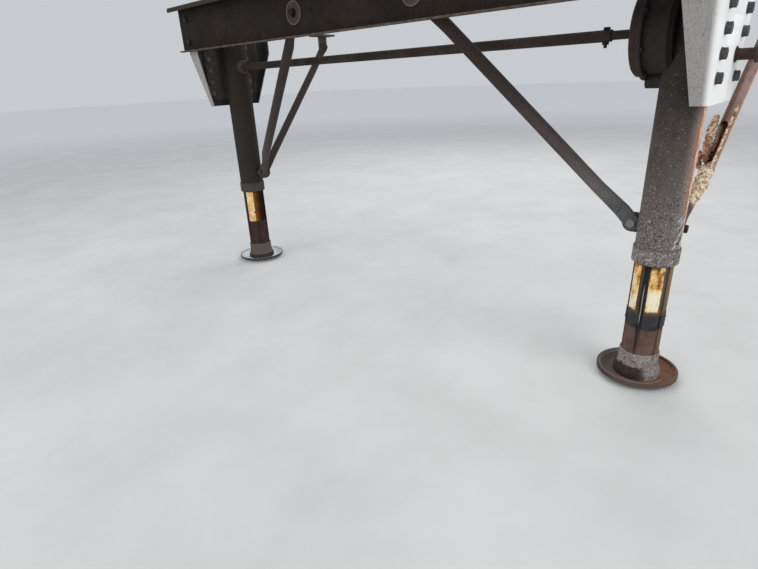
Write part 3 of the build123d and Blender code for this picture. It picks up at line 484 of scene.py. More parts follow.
def collar_material():
    coat = weathered("collar_paint", (0.215, 0.188, 0.174), (0.126, 0.110, 0.101), rust_share=0.24)
    coat.lay((0.50, 0.48, 0.47), coat.patches(170.0, 0.53, 0.61, detail=4, rough=0.7), 0.85)
    coat.lay((0.036, 0.031, 0.029), coat.patches(125.0, 0.55, 0.61, detail=4, rough=0.7), 0.85)
    # Painted shade: the right collar darkened all over
    coat.lay((0.028, 0.023, 0.021), coat.on_right(), 0.85)
    coat.lay((0.020, 0.018, 0.017), coat.step(coat.z, COLLAR_BOTTOM + 0.003, COLLAR_BOTTOM))
    return coat.done(0.0014)


def flaked_cream(coat, top, foot, yellow):
    """Cream coating, yellower and more stained towards the top."""
    spots = coat.noise(55.0, detail=7, rough=0.68, place=coat.stretched(1.0, 1.0, 0.55))
    stain = coat.plus(spots, coat.times(coat.step(coat.z, foot, top), yellow))
    return coat.ramp(stain, (
        (0.36, (0.86, 0.82, 0.73)),
        (0.52, (0.84, 0.73, 0.50)),
        (0.63, (0.80, 0.52, 0.17)),
        (0.73, (0.40, 0.18, 0.045)),
        (0.80, (0.085, 0.048, 0.028)),
    ))


def add_lands(coat, turn, coated):
    """Brown and ochre on the outboard lands of the near sliding tube, and cream on the front two."""
    coat.lay((0.090, 0.070, 0.062), coated, coat.band(turn, 50.0, 66.0, 3.0), 0.9)
    share = coat.plus(coat.times(coat.step(coat.z, CREAM_FOOT, CREAM_TOP), 0.6), 0.25)
    coat.lay((0.26, 0.17, 0.050), coated, coat.band(turn, 72.0, 114.0, 5.0), share)
    # The cream has a dark rusty edge beside the middle groove, and a stain at its top
    uneven = coat.ragged(turn, 2.2, 42.0)
    cream = flaked_cream(coat, CREAM_TOP, CREAM_FOOT + 0.010, 0.17)
    coat.lay(cream, coated, coat.band(uneven, -54.0, -21.0, 1.2))
    coat.lay((0.085, 0.045, 0.025), coated, coat.band(uneven, -21.0, -13.0, 1.5))
    coat.lay(cream, coated, coat.band(uneven, 9.0, 49.0, 1.2))
    stain = coat.step(coat.ragged(coat.z, 0.006, 50.0), CREAM_TOP - 0.005, CREAM_TOP + 0.008)
    coat.lay((0.070, 0.040, 0.024), stain, coat.band(turn, 4.0, 34.0, 5.0), 0.9)


def add_rim_and_soot(coat, turn, foot):
    """The rusty lower rim of the coating, and the soot below it."""
    rim = coat.band(foot, CREAM_FOOT - 0.016, CREAM_FOOT, 0.004)
    coat.lay((0.150, 0.068, 0.026), rim, coat.band(turn, -80.0, 118.0, 6.0), 0.85)
    soot = coat.band(coat.ragged(coat.z, 0.010, 26.0), SOOT_FOOT, SOOT_TOP, 0.006)
    coat.lay((0.020, 0.018, 0.018), soot, 0.9)


def add_groove_grease(coat, turn):
    """Grease in the front groove, with a drip under it and a painted highlight, a bright line, in its
    middle.
    """
    groove = coat.band(coat.ragged(turn, 1.5, 70.0), -12.0, 7.0, 1.2)
    coat.lay((0.017, 0.015, 0.015), groove, coat.step(coat.z, GROOVE_END - 0.06, GROOVE_END), 0.95)
    drip = coat.band(coat.ragged(turn, 1.2, 60.0), -7.0, 1.0, 1.5)
    coat.lay((0.030, 0.026, 0.025), drip, coat.band(coat.z, DRIP_END, GROOVE_END, 0.02), 0.8)
    # Painted highlight down the middle of the groove
    line = coat.band(coat.ragged(turn, 0.8, 40.0), -5.2, -2.4, 0.6)
    coat.lay((0.52, 0.52, 0.46), line, coat.band(coat.z, -1.14, -1.02, 0.02), 0.8)


def near_inner_material():
    coat = weathered(
        "sliding_steel_left", (0.175, 0.108, 0.080), (0.090, 0.056, 0.043),
        rust=(0.20, 0.078, 0.034), rust_share=0.42,
    )
    turn = coat.azimuth(LEG_Y)
    foot = coat.ragged(coat.z, 0.006, 55.0)
    add_lands(coat, turn, coat.step(foot, CREAM_FOOT - 0.006, CREAM_FOOT))
    add_rim_and_soot(coat, turn, foot)
    add_groove_grease(coat, turn)
    # Fine vertical scoring
    drawn_out = coat.joined(coat.times(turn, 0.55), coat.times(coat.z, 7.0), 1.0)
    score = coat.patches(1.0, 0.56, 0.70, detail=4, place=drawn_out)
    coat.lay((0.040, 0.028, 0.022), score, 0.45)
    return coat.done(0.0009)


def far_inner_material():
    # The right sliding tube's coat is darker all over than the left one's: painted shade
    coat = weathered(
        "sliding_steel_right", (0.055, 0.036, 0.034), (0.033, 0.022, 0.022), rust_share=0.26, grit=0.1
    )
    turn = coat.azimuth(-LEG_Y)
    coated = coat.step(coat.ragged(coat.z, 0.003, 60.0), FAR_COAT_FOOT - 0.003, FAR_COAT_FOOT + 0.003)
    amber = coat.ramp(coat.step(coat.ragged(turn, 10.0, 25.0), 46.0, 128.0), (
        (0.0, (0.28, 0.110, 0.016)),
        (0.22, (0.075, 0.027, 0.004)),
        (0.50, (0.022, 0.008, 0.002)),
        (1.0, (0.007, 0.003, 0.002)),
    ))
    coat.lay(amber, coated, coat.band(turn, 45.0, 170.0, 6.0))
    strip = flaked_cream(coat, -0.93, -1.13, 0.08)
    golden = coat.plus(coat.noise(36.0, detail=4), coat.times(coat.step(coat.z, -1.00, -1.09), 0.12))
    gold = coat.mix(coat.times(coat.step(golden, 0.46, 0.66), 0.85), strip, (0.70, 0.36, 0.10))
    coat.lay(gold, coated, coat.band(coat.ragged(turn, 1.6, 40.0), 8.0, 50.0, 1.5))
    coat.lay((0.060, 0.034, 0.018), coat.patches(52.0, 0.64, 0.70, detail=3), coated, 0.8)
    return coat.done(0.0008, specular=0.12)


def boss_material():
    """The foot's casting, crusted and pitted, with the left one torn round its lower edge."""
    coat = weathered(
        "foot_casting", (0.350, 0.290, 0.262), (0.195, 0.160, 0.144), rust_share=0.28, grit=0.4
    )
    near = coat.on_left()
    far = coat.less(1.0, near)
    coat.lay((0.50, 0.44, 0.41), coat.patches(150.0, 0.51, 0.62, detail=4, rough=0.7), 0.7)
    coat.lay((0.058, 0.043, 0.038), coat.patches(105.0, 0.54, 0.61, detail=4, rough=0.7), 0.8)
    # Painted shade: the right boss darkened all over
    coat.lay((0.070, 0.058, 0.054), far, 0.8)
    foot_line = coat.step(coat.z, GROUND_Z + 0.036, GROUND_Z + 0.030)
    coat.lay((0.022, 0.019, 0.018), far, foot_line, 0.85)
    tear = coat.step(coat.ragged(coat.z, 0.014, 44.0), GROUND_Z + 0.052, GROUND_Z + 0.047)
    torn = coat.ramp(coat.fine, ((0.36, (0.018, 0.012, 0.010)), (0.60, (0.060, 0.036, 0.028))))
    coat.lay(torn, tear, near, coat.band(coat.azimuth(LEG_Y), -150.0, 34.0, 14.0))
    return coat.done(0.0034)


def add_near_foot(coat, near):
    """The left foot: orange to its left, worn to its right, and dark round its edge, darker still as
    painted shade on the right of its outer wall, with a painted highlight on its rim.
    """
    turn = coat.azimuth(LEG_Y)
    reach = coat.radius(LEG_Y)
    uneven = coat.ragged(turn, 14.0, 12.0)
    orange = coat.ramp(coat.fine, (
        (0.34, (0.085, 0.036, 0.018)),
        (0.52, (0.185, 0.080, 0.036)),
        (0.70, (0.34, 0.165, 0.085)),
    ))
    coat.lay(orange, near, coat.step(uneven, 10.0, 50.0), 0.7)
    coat.lay((0.060, 0.055, 0.053), near, coat.step(uneven, -10.0, -60.0), 0.75)
    edge = coat.step(reach, 0.1215, 0.1240)
    coat.lay((0.074, 0.056, 0.047), near, edge, 0.8)
    # Painted shade on the right-hand side of the outer wall
    coat.lay((0.026, 0.021, 0.019), near, edge, coat.step(turn, -12.0, -40.0), 0.85)
    # The rim's top has a painted highlight, and the inner ring is pale
    rim = coat.band(coat.ragged(reach, 0.0012, 40.0), 0.1150, 0.1205, 0.0012)
    coat.lay((0.26, 0.25, 0.25), near, rim, coat.step(turn, 40.0, -30.0), 0.7)
    inner_ring = coat.band(coat.ragged(reach, 0.0015, 35.0), 0.0835, 0.0870, 0.0010)
    coat.lay((0.34, 0.29, 0.26), near, inner_ring, coat.band(turn, -15.0, 75.0, 15.0), 0.75)


def add_far_foot(coat, near):
    """The right foot, wet inside its rim, with a pale bluish painted sky reflection there, and dark round
    its edge.
    """
    # Painted reflection: pale bluish sky inside the rim
    painted_sky_reflection = coat.mix(coat.patches(22.0, 0.38, 0.60), (0.86, 0.89, 0.92), (0.66, 0.69, 0.72))
    inside_rim = coat.step(coat.radius(-LEG_Y), 0.1225, 0.1200)
    coat.lay(coat.mix(inside_rim, (0.024, 0.023, 0.023), painted_sky_reflection), coat.less(1.0, near), 0.95)


def foot_material():
    coat = weathered(
        "foot_steel", (0.165, 0.088, 0.060), (0.078, 0.046, 0.035), rust_share=0.42, grit=0.25
    )
    near = coat.on_left()
    add_near_foot(coat, near)
    add_far_foot(coat, near)
    wet = coat.times(coat.noise(16.0, detail=3), 0.45)
    return coat.done(0.0014, 0.5, coat.either(coat.times(coat.dry(), near), wet))


def lateral_brace_material():
    coat = weathered("brace_lateral", (0.076, 0.060, 0.056), (0.046, 0.037, 0.036), rust_share=0.32)
    low = coat.step(coat.z, -0.55, -0.78)
    high = coat.step(coat.z, -0.58, -0.32)
    coat.lay((0.150, 0.140, 0.135), low, 0.75)
    coat.lay((0.082, 0.083, 0.088), coat.step(coat.z, -0.745, -0.790), 0.8)
    # Darker up high: dirt and painted shade
    coat.lay((0.026, 0.018, 0.016), high, 0.9)
    dust = coat.plus(coat.noise(190.0, detail=3), coat.times(low, 0.06))
    coat.lay((0.29, 0.28, 0.27), coat.step(dust, 0.645, 0.73), coat.less(1.0, high), 0.7)
    # Painted shade: the right brace darkened all over
    coat.lay((0.042, 0.034, 0.030), coat.on_right(), 0.65)
    return coat.done()


def add_brace_sides(coat, near, up, around):
    """Red-brown on the side of the rear brace that rusted open, and a pale painted highlight on its lit
    side.
    """
    reds = coat.ramp(coat.fine, (
        (0.34, (0.055, 0.026, 0.018)),
        (0.52, (0.150, 0.062, 0.036)),
        (0.68, (0.36, 0.150, 0.070)),
    ))
    coat.lay(reds, near, coat.band(coat.ragged(around, 8.0, 40.0), -60.0, 38.0, 14.0), 0.85)
    # Painted highlight along the pipe's lit side
    lit = coat.band(coat.ragged(around, 6.0, 50.0), 113.0, 156.0, 6.0)
    coat.lay((0.74, 0.50, 0.37), near, lit, coat.step(up, 0.15, 0.26), 0.8)


def add_brace_scale(coat, near, up, around):
    """Cream scale beside the opening and all over the pipe below it."""
    beside = coat.band(coat.ragged(around, 5.0, 46.0), 66.0, 92.0, 4.0)
    strip = coat.times(beside, coat.band(up, 0.20, 0.462, 0.012))
    lower = coat.step(coat.ragged(up, 0.012, 30.0), 0.236, 0.222)
    past_tab = coat.step(coat.ragged(up, 0.006, 30.0), 0.078, 0.092)
    scale = coat.ramp(coat.noise(95.0, detail=6, rough=0.78), (
        (0.37, (0.050, 0.028, 0.016)),
        (0.44, (0.38, 0.17, 0.060)),
        (0.51, (0.74, 0.58, 0.38)),
        (0.60, (0.88, 0.84, 0.72)),
    ))
    coat.lay(scale, near, coat.either(strip, coat.times(lower, past_tab)), 0.95)


def rear_brace_material():
    coat = weathered(
        "brace_rear", (0.310, 0.215, 0.195), (0.180, 0.122, 0.110), rust_share=0.30, grit=0.2
    )
    near = coat.on_left()
    up = coat.along(BRACE_LOW, BRACE_RUN)
    opened = coat.along(BRACE_LOW, BRACE_OPEN)
    sideways = coat.along(BRACE_LOW, BRACE_SIDE)
    around = coat.degrees(sideways, opened)
    add_brace_sides(coat, near, up, around)
    add_brace_scale(coat, near, up, around)
    wall = coat.ramp(coat.fine, (
        (0.36, (0.110, 0.048, 0.032)),
        (0.54, (0.270, 0.120, 0.075)),
        (0.70, (0.50, 0.25, 0.14)),
    ))
    # Painted shadow inside the opening: near black low down, the inner wall's colour above
    wall_and_painted_shadow = coat.mix(coat.step(up, 0.262, 0.300), (0.012, 0.009, 0.008), wall)
    inside = coat.step(coat.length(opened, sideways), 0.0192, 0.0182)
    coat.lay(wall_and_painted_shadow, near, inside, coat.band(up, 0.18, 0.75, 0.01))
    coat.lay((0.058, 0.038, 0.030), near, coat.step(up, 0.095, 0.070), 0.8)
    # Painted shade: the right brace darkened all over
    coat.lay((0.026, 0.021, 0.018), coat.less(1.0, near), 0.92)
    return coat.done(0.0016)


def add_flange_dust_and_shade(coat, flange):
    """Grey on the flanges, dust and painted shade, with darker clouds, and dark marks that are fewer on
    the web.
    """
    grain = coat.noise(240.0, detail=4, rough=0.7, place=coat.stretched(1.0, 1.0, 0.8))
    # Dust and painted shade: the flanges are laid grey against the white web
    coat.lay(coat.ramp(grain, (
        (0.32, (0.20, 0.190, 0.186)),
        (0.46, (0.31, 0.288, 0.282)),
        (0.62, (0.36, 0.340, 0.333)),
    )), flange)
    coat.lay((0.20, 0.19, 0.185), coat.patches(22.0, 0.50, 0.66, rough=0.7), flange, 0.35)
    share = coat.plus(coat.times(flange, 0.6), 0.10)
    coat.lay((0.060, 0.057, 0.055), coat.patches(70.0, 0.68, 0.74, detail=3), share)


def add_plate_marks(coat, flange):
    """Paler places on the left hanger's web, where plates have been."""
    for x, z, half_x, half_z in PLATE_MARKS:
        lengthwise = coat.band(coat.x, x - half_x, x + half_x, 0.002)
        upright = coat.band(coat.z, z - half_z, z + half_z, 0.0015)
        coat.lay((0.90, 0.90, 0.91), lengthwise, upright, coat.less(1.0, flange), coat.on_left())


def add_hanger_inside(coat, wide):
    """The dark inner faces, painted shade and grime, streaked from above: what lies less than the
    bend's outer radius from the line that the bend turns about."""
    part = coat.rise(coat.z, HANGER_BOTTOM, HANGER_KNEE)
    to_front = coat.less(coat.plus(coat.times(part, FRONT_GROWTH), HANGER_FRONT), coat.x)
    to_rear = coat.less(coat.x, coat.plus(coat.times(part, -REAR_GROWTH), HANGER_REAR))
    to_flange = coat.maths("MINIMUM", to_front, to_rear)
    to_web = coat.less(HANGER_WEB, wide)
    past_flange = coat.either(coat.less(HANGER_BEND, to_flange), 0.0)
    past_web = coat.either(coat.less(HANGER_BEND, to_web), 0.0)
    from_axis = coat.length(past_flange, past_web)
    shade_and_grime_streaks = coat.ramp(coat.noise(1.0, place=coat.stretched(70.0, 70.0, 3.0)), (
        (0.38, (0.016, 0.014, 0.013)),
        (0.62, (0.045, 0.040, 0.037)),
        (0.74, (0.12, 0.115, 0.11)),
    ))
    # Painted shade and grime on the inner faces
    coat.lay(shade_and_grime_streaks, coat.step(from_axis, HANGER_BEND - 0.0025, HANGER_BEND - 0.0040))


def hanger_material():
    coat = bare_coat("hanger_white", 0.16)
    coat.tone = coat.mix(coat.patches(9.0, 0.42, 0.66), (0.84, 0.84, 0.83), (0.77, 0.77, 0.76))
    coat.lay((0.34, 0.22, 0.15), coat.rusty, 0.5)
    wide = coat.maths("ABSOLUTE", coat.y)
    flange = coat.step(wide, HANGER_WEB - 0.004, HANGER_WEB - 0.020)
    add_flange_dust_and_shade(coat, flange)
    add_plate_marks(coat, flange)
    add_hanger_inside(coat, wide)
    return coat.done(0.0006, specular=0.35)


def beam_material():
    # A very dark base tone: dark paint and dirt, and partly painted shade
    coat = weathered(
        "beam_paint", (0.025, 0.0192, 0.0156), (0.015, 0.0118, 0.0098), rust_share=0.26, grit=0.05
    )
    # Painted bounce light, tan, under the lower lip, paler paint on the front of the upper one, and dark
    # runs
    painted_bounce_light = coat.ramp(coat.noise(40.0), ((0.4, (0.070, 0.052, 0.043)), (0.65, (0.135, 0.108, 0.092))))
    coat.lay(painted_bounce_light, coat.step(coat.z, BEAM_BOTTOM + 0.010, BEAM_BOTTOM + 0.006), 0.85)
    on_lip = coat.step(coat.x, LIP_FRONT - 0.003, LIP_FRONT - 0.002)
    coat.lay((0.055, 0.043, 0.036), on_lip, coat.step(coat.z, -0.03, -0.02), 0.7)
    runs = coat.patches(1.0, 0.60, 0.72, detail=4, place=coat.stretched(30.0, 30.0, 5.0))
    coat.lay((0.012, 0.010, 0.009), runs, 0.6)
    return coat.done(specular=0.10)


def cover_material():
    coat = weathered(
        "cover_paint", (0.050, 0.030, 0.026), (0.028, 0.018, 0.017), rust_share=0.34, grit=0.08
    )
    coat.lay((0.28, 0.21, 0.19), coat.patches(55.0, 0.72, 0.78, detail=4), 0.8)
    return coat.done()


def grease_material():
    coat = weathered("grease", (0.022, 0.021, 0.022), (0.012, 0.012, 0.013), rust_share=0.10, grit=0.0)
    brown = coat.step(coat.ragged(coat.z, 0.006, 48.0), GREASE_TOP - 0.010, GREASE_TOP)
    coat.lay((0.070, 0.042, 0.024), brown, 0.85)
    coat.lay((0.13, 0.13, 0.135), coat.patches(300.0, 0.62, 0.72, detail=2), 0.35)
    return coat.done(0.0030, 0.5, coat.step(coat.fine, -0.5, 1.6))


def scale_material():
    """Peeled pipe wall, with cream scale outside and red rust breaking through it."""
    coat = weathered("rust_scale", (0.33, 0.135, 0.070), (0.12, 0.046, 0.026), grit=0.0)
    up = coat.along(BRACE_LOW, BRACE_RUN)
    lean = coat.times(coat.step(up, 0.30, 0.40), 0.10)
    pale = coat.plus(coat.noise(62.0, detail=6, rough=0.75), lean)
    cream = coat.ramp(coat.fine, (
        (0.34, (0.40, 0.22, 0.12)),
        (0.50, (0.72, 0.50, 0.34)),
        (0.64, (0.84, 0.72, 0.54)),
    ))
    coat.lay(cream, coat.step(pale, 0.48, 0.60))
    inner_strip = coat.step(coat.along(BRACE_LOW, BRACE_ASIDE), 0.0235, 0.0205)
    coat.lay((0.240, 0.110, 0.080), inner_strip, 0.65)
    coat.lay((0.070, 0.030, 0.020), coat.patches(110.0, 0.58, 0.66, detail=4), 0.8)
    return coat.done(0.0020)


def scatter_material():
    """Loose chips of the cream scale."""
    coat = bare_coat("cream_scale", 0.42)
    coat.tone = coat.ramp(coat.noise(64.0, rough=0.8), (
        (0.38, (0.070, 0.036, 0.022)),
        (0.45, (0.46, 0.20, 0.070)),
        (0.51, (0.80, 0.65, 0.46)),
        (0.58, (0.90, 0.87, 0.78)),
    ))
    return coat.done(0.0012)


def hanger_bolt_material():
    """Black heads, dusty where they catch the light."""
    coat = weathered(
        "hanger_bolt_steel", (0.110, 0.110, 0.114), (0.046, 0.046, 0.048), rust_share=0.20, grit=0.2
    )
    coat.lay((0.17, 0.17, 0.175), coat.patches(190.0, 0.52, 0.66, detail=3), 0.5)
    return coat.done()


def brace_bolt_material():
    """Dusty grey heads at the legs, and brown round plates on the beam with painted highlights on their
    rims.
    """
    coat = weathered(
        "brace_bolt_steel", (0.062, 0.048, 0.042), (0.036, 0.028, 0.025), rust_share=0.30, grit=0.15
    )
    low = coat.step(coat.z, -0.6, -0.7)
    front = coat.step(coat.x, -0.33, -0.31)
    coat.lay((0.215, 0.210, 0.205), coat.on_left(), low, front, 0.85)
    aside = coat.less(coat.maths("ABSOLUTE", coat.y), ROUND_PLATE_Y)
    reach = coat.length(aside, coat.less(coat.z, ROUND_PLATE_Z))
    coat.lay((0.010, 0.009, 0.009), coat.band(reach, 0.0, 0.017, 0.001))
    # Painted highlight on the round plates' rims
    coat.lay((0.120, 0.095, 0.082), coat.band(reach, 0.0395, 0.046, 0.001), 0.8)
    return coat.done()


def weld_material():
    coat = weathered("weld", (0.180, 0.156, 0.144), (0.105, 0.090, 0.082), rust_share=0.30)
    coat.lay((0.052, 0.043, 0.039), coat.step(coat.z, COLLAR_TOP + 0.02, COLLAR_TOP + 0.06), 0.75)
    # Painted shade: the right welds darkened all over
    coat.lay((0.030, 0.024, 0.022), coat.on_right(), 0.8)
    return coat.done(0.0008)


# Detail pieces
def piece(name, sheet, material, smooth=True):
    """A mesh that rides with the legs. The sheet is its points and its faces."""
    vertices, faces = sheet
    mesh = bpy.data.meshes.new(name)
    mesh.from_pydata([tuple(v) for v in vertices], [], faces)
    work = bmesh.new()
    work.from_mesh(mesh)
    bmesh.ops.recalc_face_normals(work, faces=work.faces)
    work.to_mesh(mesh)
    work.free()
    mesh.polygons.foreach_set("use_smooth", [smooth] * len(mesh.polygons))
    mesh.materials.append(material)
    made = bpy.data.objects.new(name, mesh)
    bpy.context.scene.collection.objects.link(made)
    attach(made, ROOT)
    return made


def merged(sheets):
    """Several sheets as one."""
    vertices = []
    faces = []
    for sheet_vertices, sheet_faces in sheets:
        base = len(vertices)
        vertices += sheet_vertices
        faces += [tuple(base + v for v in face) for face in sheet_faces]
    return vertices, faces


def patch(rows, columns, where):
    """A grid of points, joined into a sheet."""
    vertices = [where(i / rows, j / columns) for i in range(rows + 1) for j in range(columns + 1)]
    wide = columns + 1
    faces = [
        (i * wide + j, i * wide + j + 1, (i + 1) * wide + j + 1, (i + 1) * wide + j)
        for i in range(rows) for j in range(columns)
    ]
    return vertices, faces


# Weld beads, each a round ridge that swells once for each drop of weld
BEAD_PITCH = 0.0055
BEAD_SIDES = 8
BEAD_RADIUS = 0.0028
BEAD_SWELL = 0.20
BEAD_UNEVEN = 0.08
BEAD_END = 0.25
BEAD_SEED = 11

# A direction that no bead runs in, from which the rings of a bead are laid out
BEAD_GUIDE = Vector((0.31, 0.22, 0.92))


def bead_points(points, closed, draw):
    """Rings of points round a line of points. An open bead is thin at its ends."""
    count = len(points)
    length = 0.0
    made = []
    for i, point in enumerate(points):
        if i > 0:
            length += (point - points[i - 1]).length
        after = points[(i + 1) % count] if closed or i < count - 1 else point
        before = points[i - 1] if closed or i > 0 else point
        forward = (after - before).normalized()
        side = forward.cross(BEAD_GUIDE).normalized()
        up = side.cross(forward)
        swell = 1.0 + BEAD_SWELL * math.sin(length / BEAD_PITCH * math.tau)
        swell += draw.uniform(-BEAD_UNEVEN, BEAD_UNEVEN)
        if not closed and i in (0, count - 1):
            swell *= BEAD_END
        for k in range(BEAD_SIDES):
            turn = math.tau * k / BEAD_SIDES
            spoke = side * math.cos(turn) + up * math.sin(turn)
            made.append(point + spoke * BEAD_RADIUS * swell)
    return made


def bead_faces(count, closed):
    """What joins the rings of a bead, with a face at each end of an open one."""
    faces = []
    for i in range(count if closed else count - 1):
        here = i * BEAD_SIDES
        there = (i + 1) % count * BEAD_SIDES
        for k in range(BEAD_SIDES):
            after = (k + 1) % BEAD_SIDES
            faces.append((here + k, here + after, there + after, there + k))
    if not closed:
        last = (count - 1) * BEAD_SIDES
        faces.append(tuple(range(BEAD_SIDES)))
        faces.append(tuple(reversed(range(last, last + BEAD_SIDES))))
    return faces


def ring(leg_y, z, radius):
    count = int(math.tau * radius / BEAD_PITCH * 4)
    turns = (math.tau * i / count for i in range(count))
    points = [Vector((LEG_X + radius * math.cos(t), leg_y + radius * math.sin(t), z)) for t in turns]
    return points, True


def upright_line(x, y, heights):
    """A line straight up a leg, between two heights over the ground."""
    start, end = (Vector((x, y, z - GROUND_TO_TOP)) for z in heights)
    count = max(int((end - start).length / BEAD_PITCH * 4), 4)
    return [start.lerp(end, i / count) for i in range(count + 1)], False


def tube_depth(offset):
    """How far the outer tube's surface lies from its middle, at an offset to one side."""
    return math.sqrt(TUBE_R ** 2 - offset ** 2)


# Where the lugs and the mounting plate's ribs meet the tube: offsets, and heights over the ground
LATERAL_LUG_EDGES = (-0.0315, -0.0205)
LATERAL_LUG_HEIGHTS = (0.491, 0.551)
REAR_LUG_EDGES = (0.0175, 0.0285)
REAR_LUG_HEIGHTS = (0.465, 0.525)
RIB_EDGES = (-0.047, 0.047)
RIB_HEIGHTS = ((0.935, 1.01), (1.05, 1.12), (1.16, 1.228))


def weld_lines(side):
    """The lines on one leg that are welded: round its collar, and along its lugs and ribs."""
    y = side * LEG_Y
    lines = [ring(y, COLLAR_TOP + 0.0005, TUBE_R + 0.0010)]
    for offset in LATERAL_LUG_EDGES:
        lines.append(upright_line(LEG_X + offset, y - side * tube_depth(offset), LATERAL_LUG_HEIGHTS))
    for offset in REAR_LUG_EDGES:
        lines.append(upright_line(LEG_X - tube_depth(offset), y + side * offset, REAR_LUG_HEIGHTS))
    for offset in RIB_EDGES:
        for heights in RIB_HEIGHTS:
            lines.append(upright_line(LEG_X + offset, y + side * tube_depth(offset), heights))
    return lines


def make_welds(material):
    for name, side in (("left", 1), ("right", -1)):
        draw = random.Random(BEAD_SEED)
        beads = [
            (bead_points(points, closed, draw), bead_faces(len(points), closed))
            for points, closed in weld_lines(side)
        ]
        piece(f"welds_{name}", merged(beads), material)


# The grease on the left sliding tube, one sheet on each land between two key grooves
LANDS = 6
LAND_PITCH = 60.0
LAND_START = 5.0
LAND_WIDTH = 50.0
GREASE_SCALLOP = 0.019
GREASE_WANDER = 0.009
GREASE_THICKNESS = 0.0014
GREASE_LUMPS = 0.0030


def grease_sheet(land):
    """A lumpy sheet that is scalloped below, and pressed into the tube along its edges."""

    def where(up, over):
        turn = math.radians(LAND_PITCH * land + LAND_START + LAND_WIDTH * over)
        scallop = GREASE_SCALLOP * math.sin(math.pi * min(over * 1.15 + 0.05, 1.0)) ** 0.8
        low_wander = GREASE_WANDER * noise.noise(Vector((over * 9.0, land * 3.0, 0.5)))
        high_wander = GREASE_WANDER * noise.noise(Vector((over * 7.0, land * 5.0, 4.0)))
        low = GREASE_FOOT - scallop + low_wander
        z = low + (GREASE_TOP + high_wander - low) * up
        edge = min(up, 1.0 - up, over, 1.0 - over)
        lump = noise.noise(Vector((over * 11.0, up * 6.0 + land, 2.0)))
        lump = GREASE_THICKNESS + GREASE_LUMPS * lump
        depth = -0.0008 if edge <= 0.0 else max(lump, 0.0004) * min(edge * 9.0, 1.0)
        reach = INNER_R + depth
        return Vector((LEG_X + reach * math.cos(turn), LEG_Y + reach * math.sin(turn), z))

    return patch(22, 26, where)


def make_grease(material):
    """The black band of grease under the left leg's cream coating."""
    piece("grease_left", merged(grease_sheet(land) for land in range(LANDS)), material)


# Strips of pipe wall that have peeled off round the opening. Each row gives, in millimetres, the
# place up the brace, how far to the side of its axis, how far in front of it, and the width.
TORN_STRIPS = (
    (
        (248, 15, 2, 18),
        (281, 22, 4, 23),
        (320, 29, 3, 25),
        (362, 35, 0, 26),
        (400, 37, -3, 24),
        (444, 38, -5, 15),
    ),
    ((300, 6, -6, 11), (335, 8, -8, 14), (372, 12, -9, 16), (416, 16, -10, 14)),
    ((226, 22, -6, 15), (246, 31, -8, 20), (270, 37, -10, 22), (300, 41, -12, 13)),
)
STRIP_THICKNESS = 0.0022
STRIP_CURL = 0.0055
STRIP_UNEVEN = 0.0022
FIRST_STRIP_SEED = 5


def on_brace(up, left, out):
    """A point near the left rear brace: up it, to the side of its axis, and towards the front."""
    return BRACE_LOW + BRACE_RUN * up + BRACE_ASIDE * left + BRACE_FRONT * out


def torn_strip(rows, seed):
    """A curled ribbon with jagged sides and a split end."""
    draw = random.Random(seed)
    length = 44
    width = 10
    spans = len(rows) - 1
    jag = [(draw.uniform(0.72, 1.18), draw.uniform(0.72, 1.18)) for _ in range(length + 1)]
    end_cut = [draw.uniform(0.0, 0.075) for _ in range(width + 1)]

    def middle(t):
        i = min(int(t * spans), spans - 1)
        part = t * spans - i
        return [a + (b - a) * part for a, b in zip(rows[i], rows[i + 1])]

    def where(u, v):
        t = u * (1.0 - end_cut[round(v * width)])
        up, left, out, wide = (value / 1000 for value in middle(t))
        across = 2.0 * v - 1.0
        reach = wide / 2 * jag[round(u * length)][0 if across < 0 else 1]
        rough = noise.noise(Vector((u * 14.0, v * 3.0, seed))) * STRIP_UNEVEN
        curl = STRIP_CURL * across * across
        return on_brace(up, left + across * reach, out - curl + rough)

    return patch(length, width, where)


def make_torn_wall(material):
    strips = [torn_strip(rows, seed) for seed, rows in enumerate(TORN_STRIPS, FIRST_STRIP_SEED)]
    wall = piece("torn_pipe_wall", merged(strips), material)
    solid = wall.modifiers.new("thickness", "SOLIDIFY")
    solid.thickness = STRIP_THICKNESS
    solid.offset = 0.0


# Loose scale on the left rear brace, below the opening and along its edge: how many flakes, how far
# up the brace they lie, and between which directions from its axis
FLAKE_PLACES = (
    (210, (0.092, 0.236), (-70.0, 160.0)),
    (110, (0.236, 0.450), (75.0, 92.0)),
)
FLAKE_SIZES = (0.0022, 0.0058)
PLACE_SEED = 23
FLAKE_SEED = 31


def flake(point, normal, draw):
    """A thin uneven chip of scale at a point, tilted from the direction that it faces."""
    tilt = Vector([draw.uniform(-0.35, 0.35) for _ in range(3)])
    normal = (normal + tilt).normalized()
    side = normal.orthogonal().normalized()
    side.rotate(Matrix.Rotation(draw.uniform(0, math.tau), 3, normal))
    other = normal.cross(side)
    size = draw.uniform(*FLAKE_SIZES)
    corners = draw.randint(5, 7)
    rim = []
    for k in range(corners):
        turn = math.tau * k / corners
        reach = size * draw.uniform(0.6, 1.1)
        rim.append(point + side * math.cos(turn) * reach + other * math.sin(turn) * reach * 0.75)
    thick = normal * size * 0.16
    faces = [tuple(range(corners)), tuple(reversed(range(corners, 2 * corners)))]
    for k in range(corners):
        after = (k + 1) % corners
        faces.append((k, corners + k, corners + after, after))
    return [v + thick for v in rim] + [v - thick for v in rim], faces


def flake_places():
    """How far up the brace each flake lies, and in which direction from its axis."""
    draw = random.Random(PLACE_SEED)
    places = []
    for count, reaches, turns in FLAKE_PLACES:
        for _ in range(count):
            places.append((draw.uniform(*reaches), math.radians(draw.uniform(*turns))))
    return places


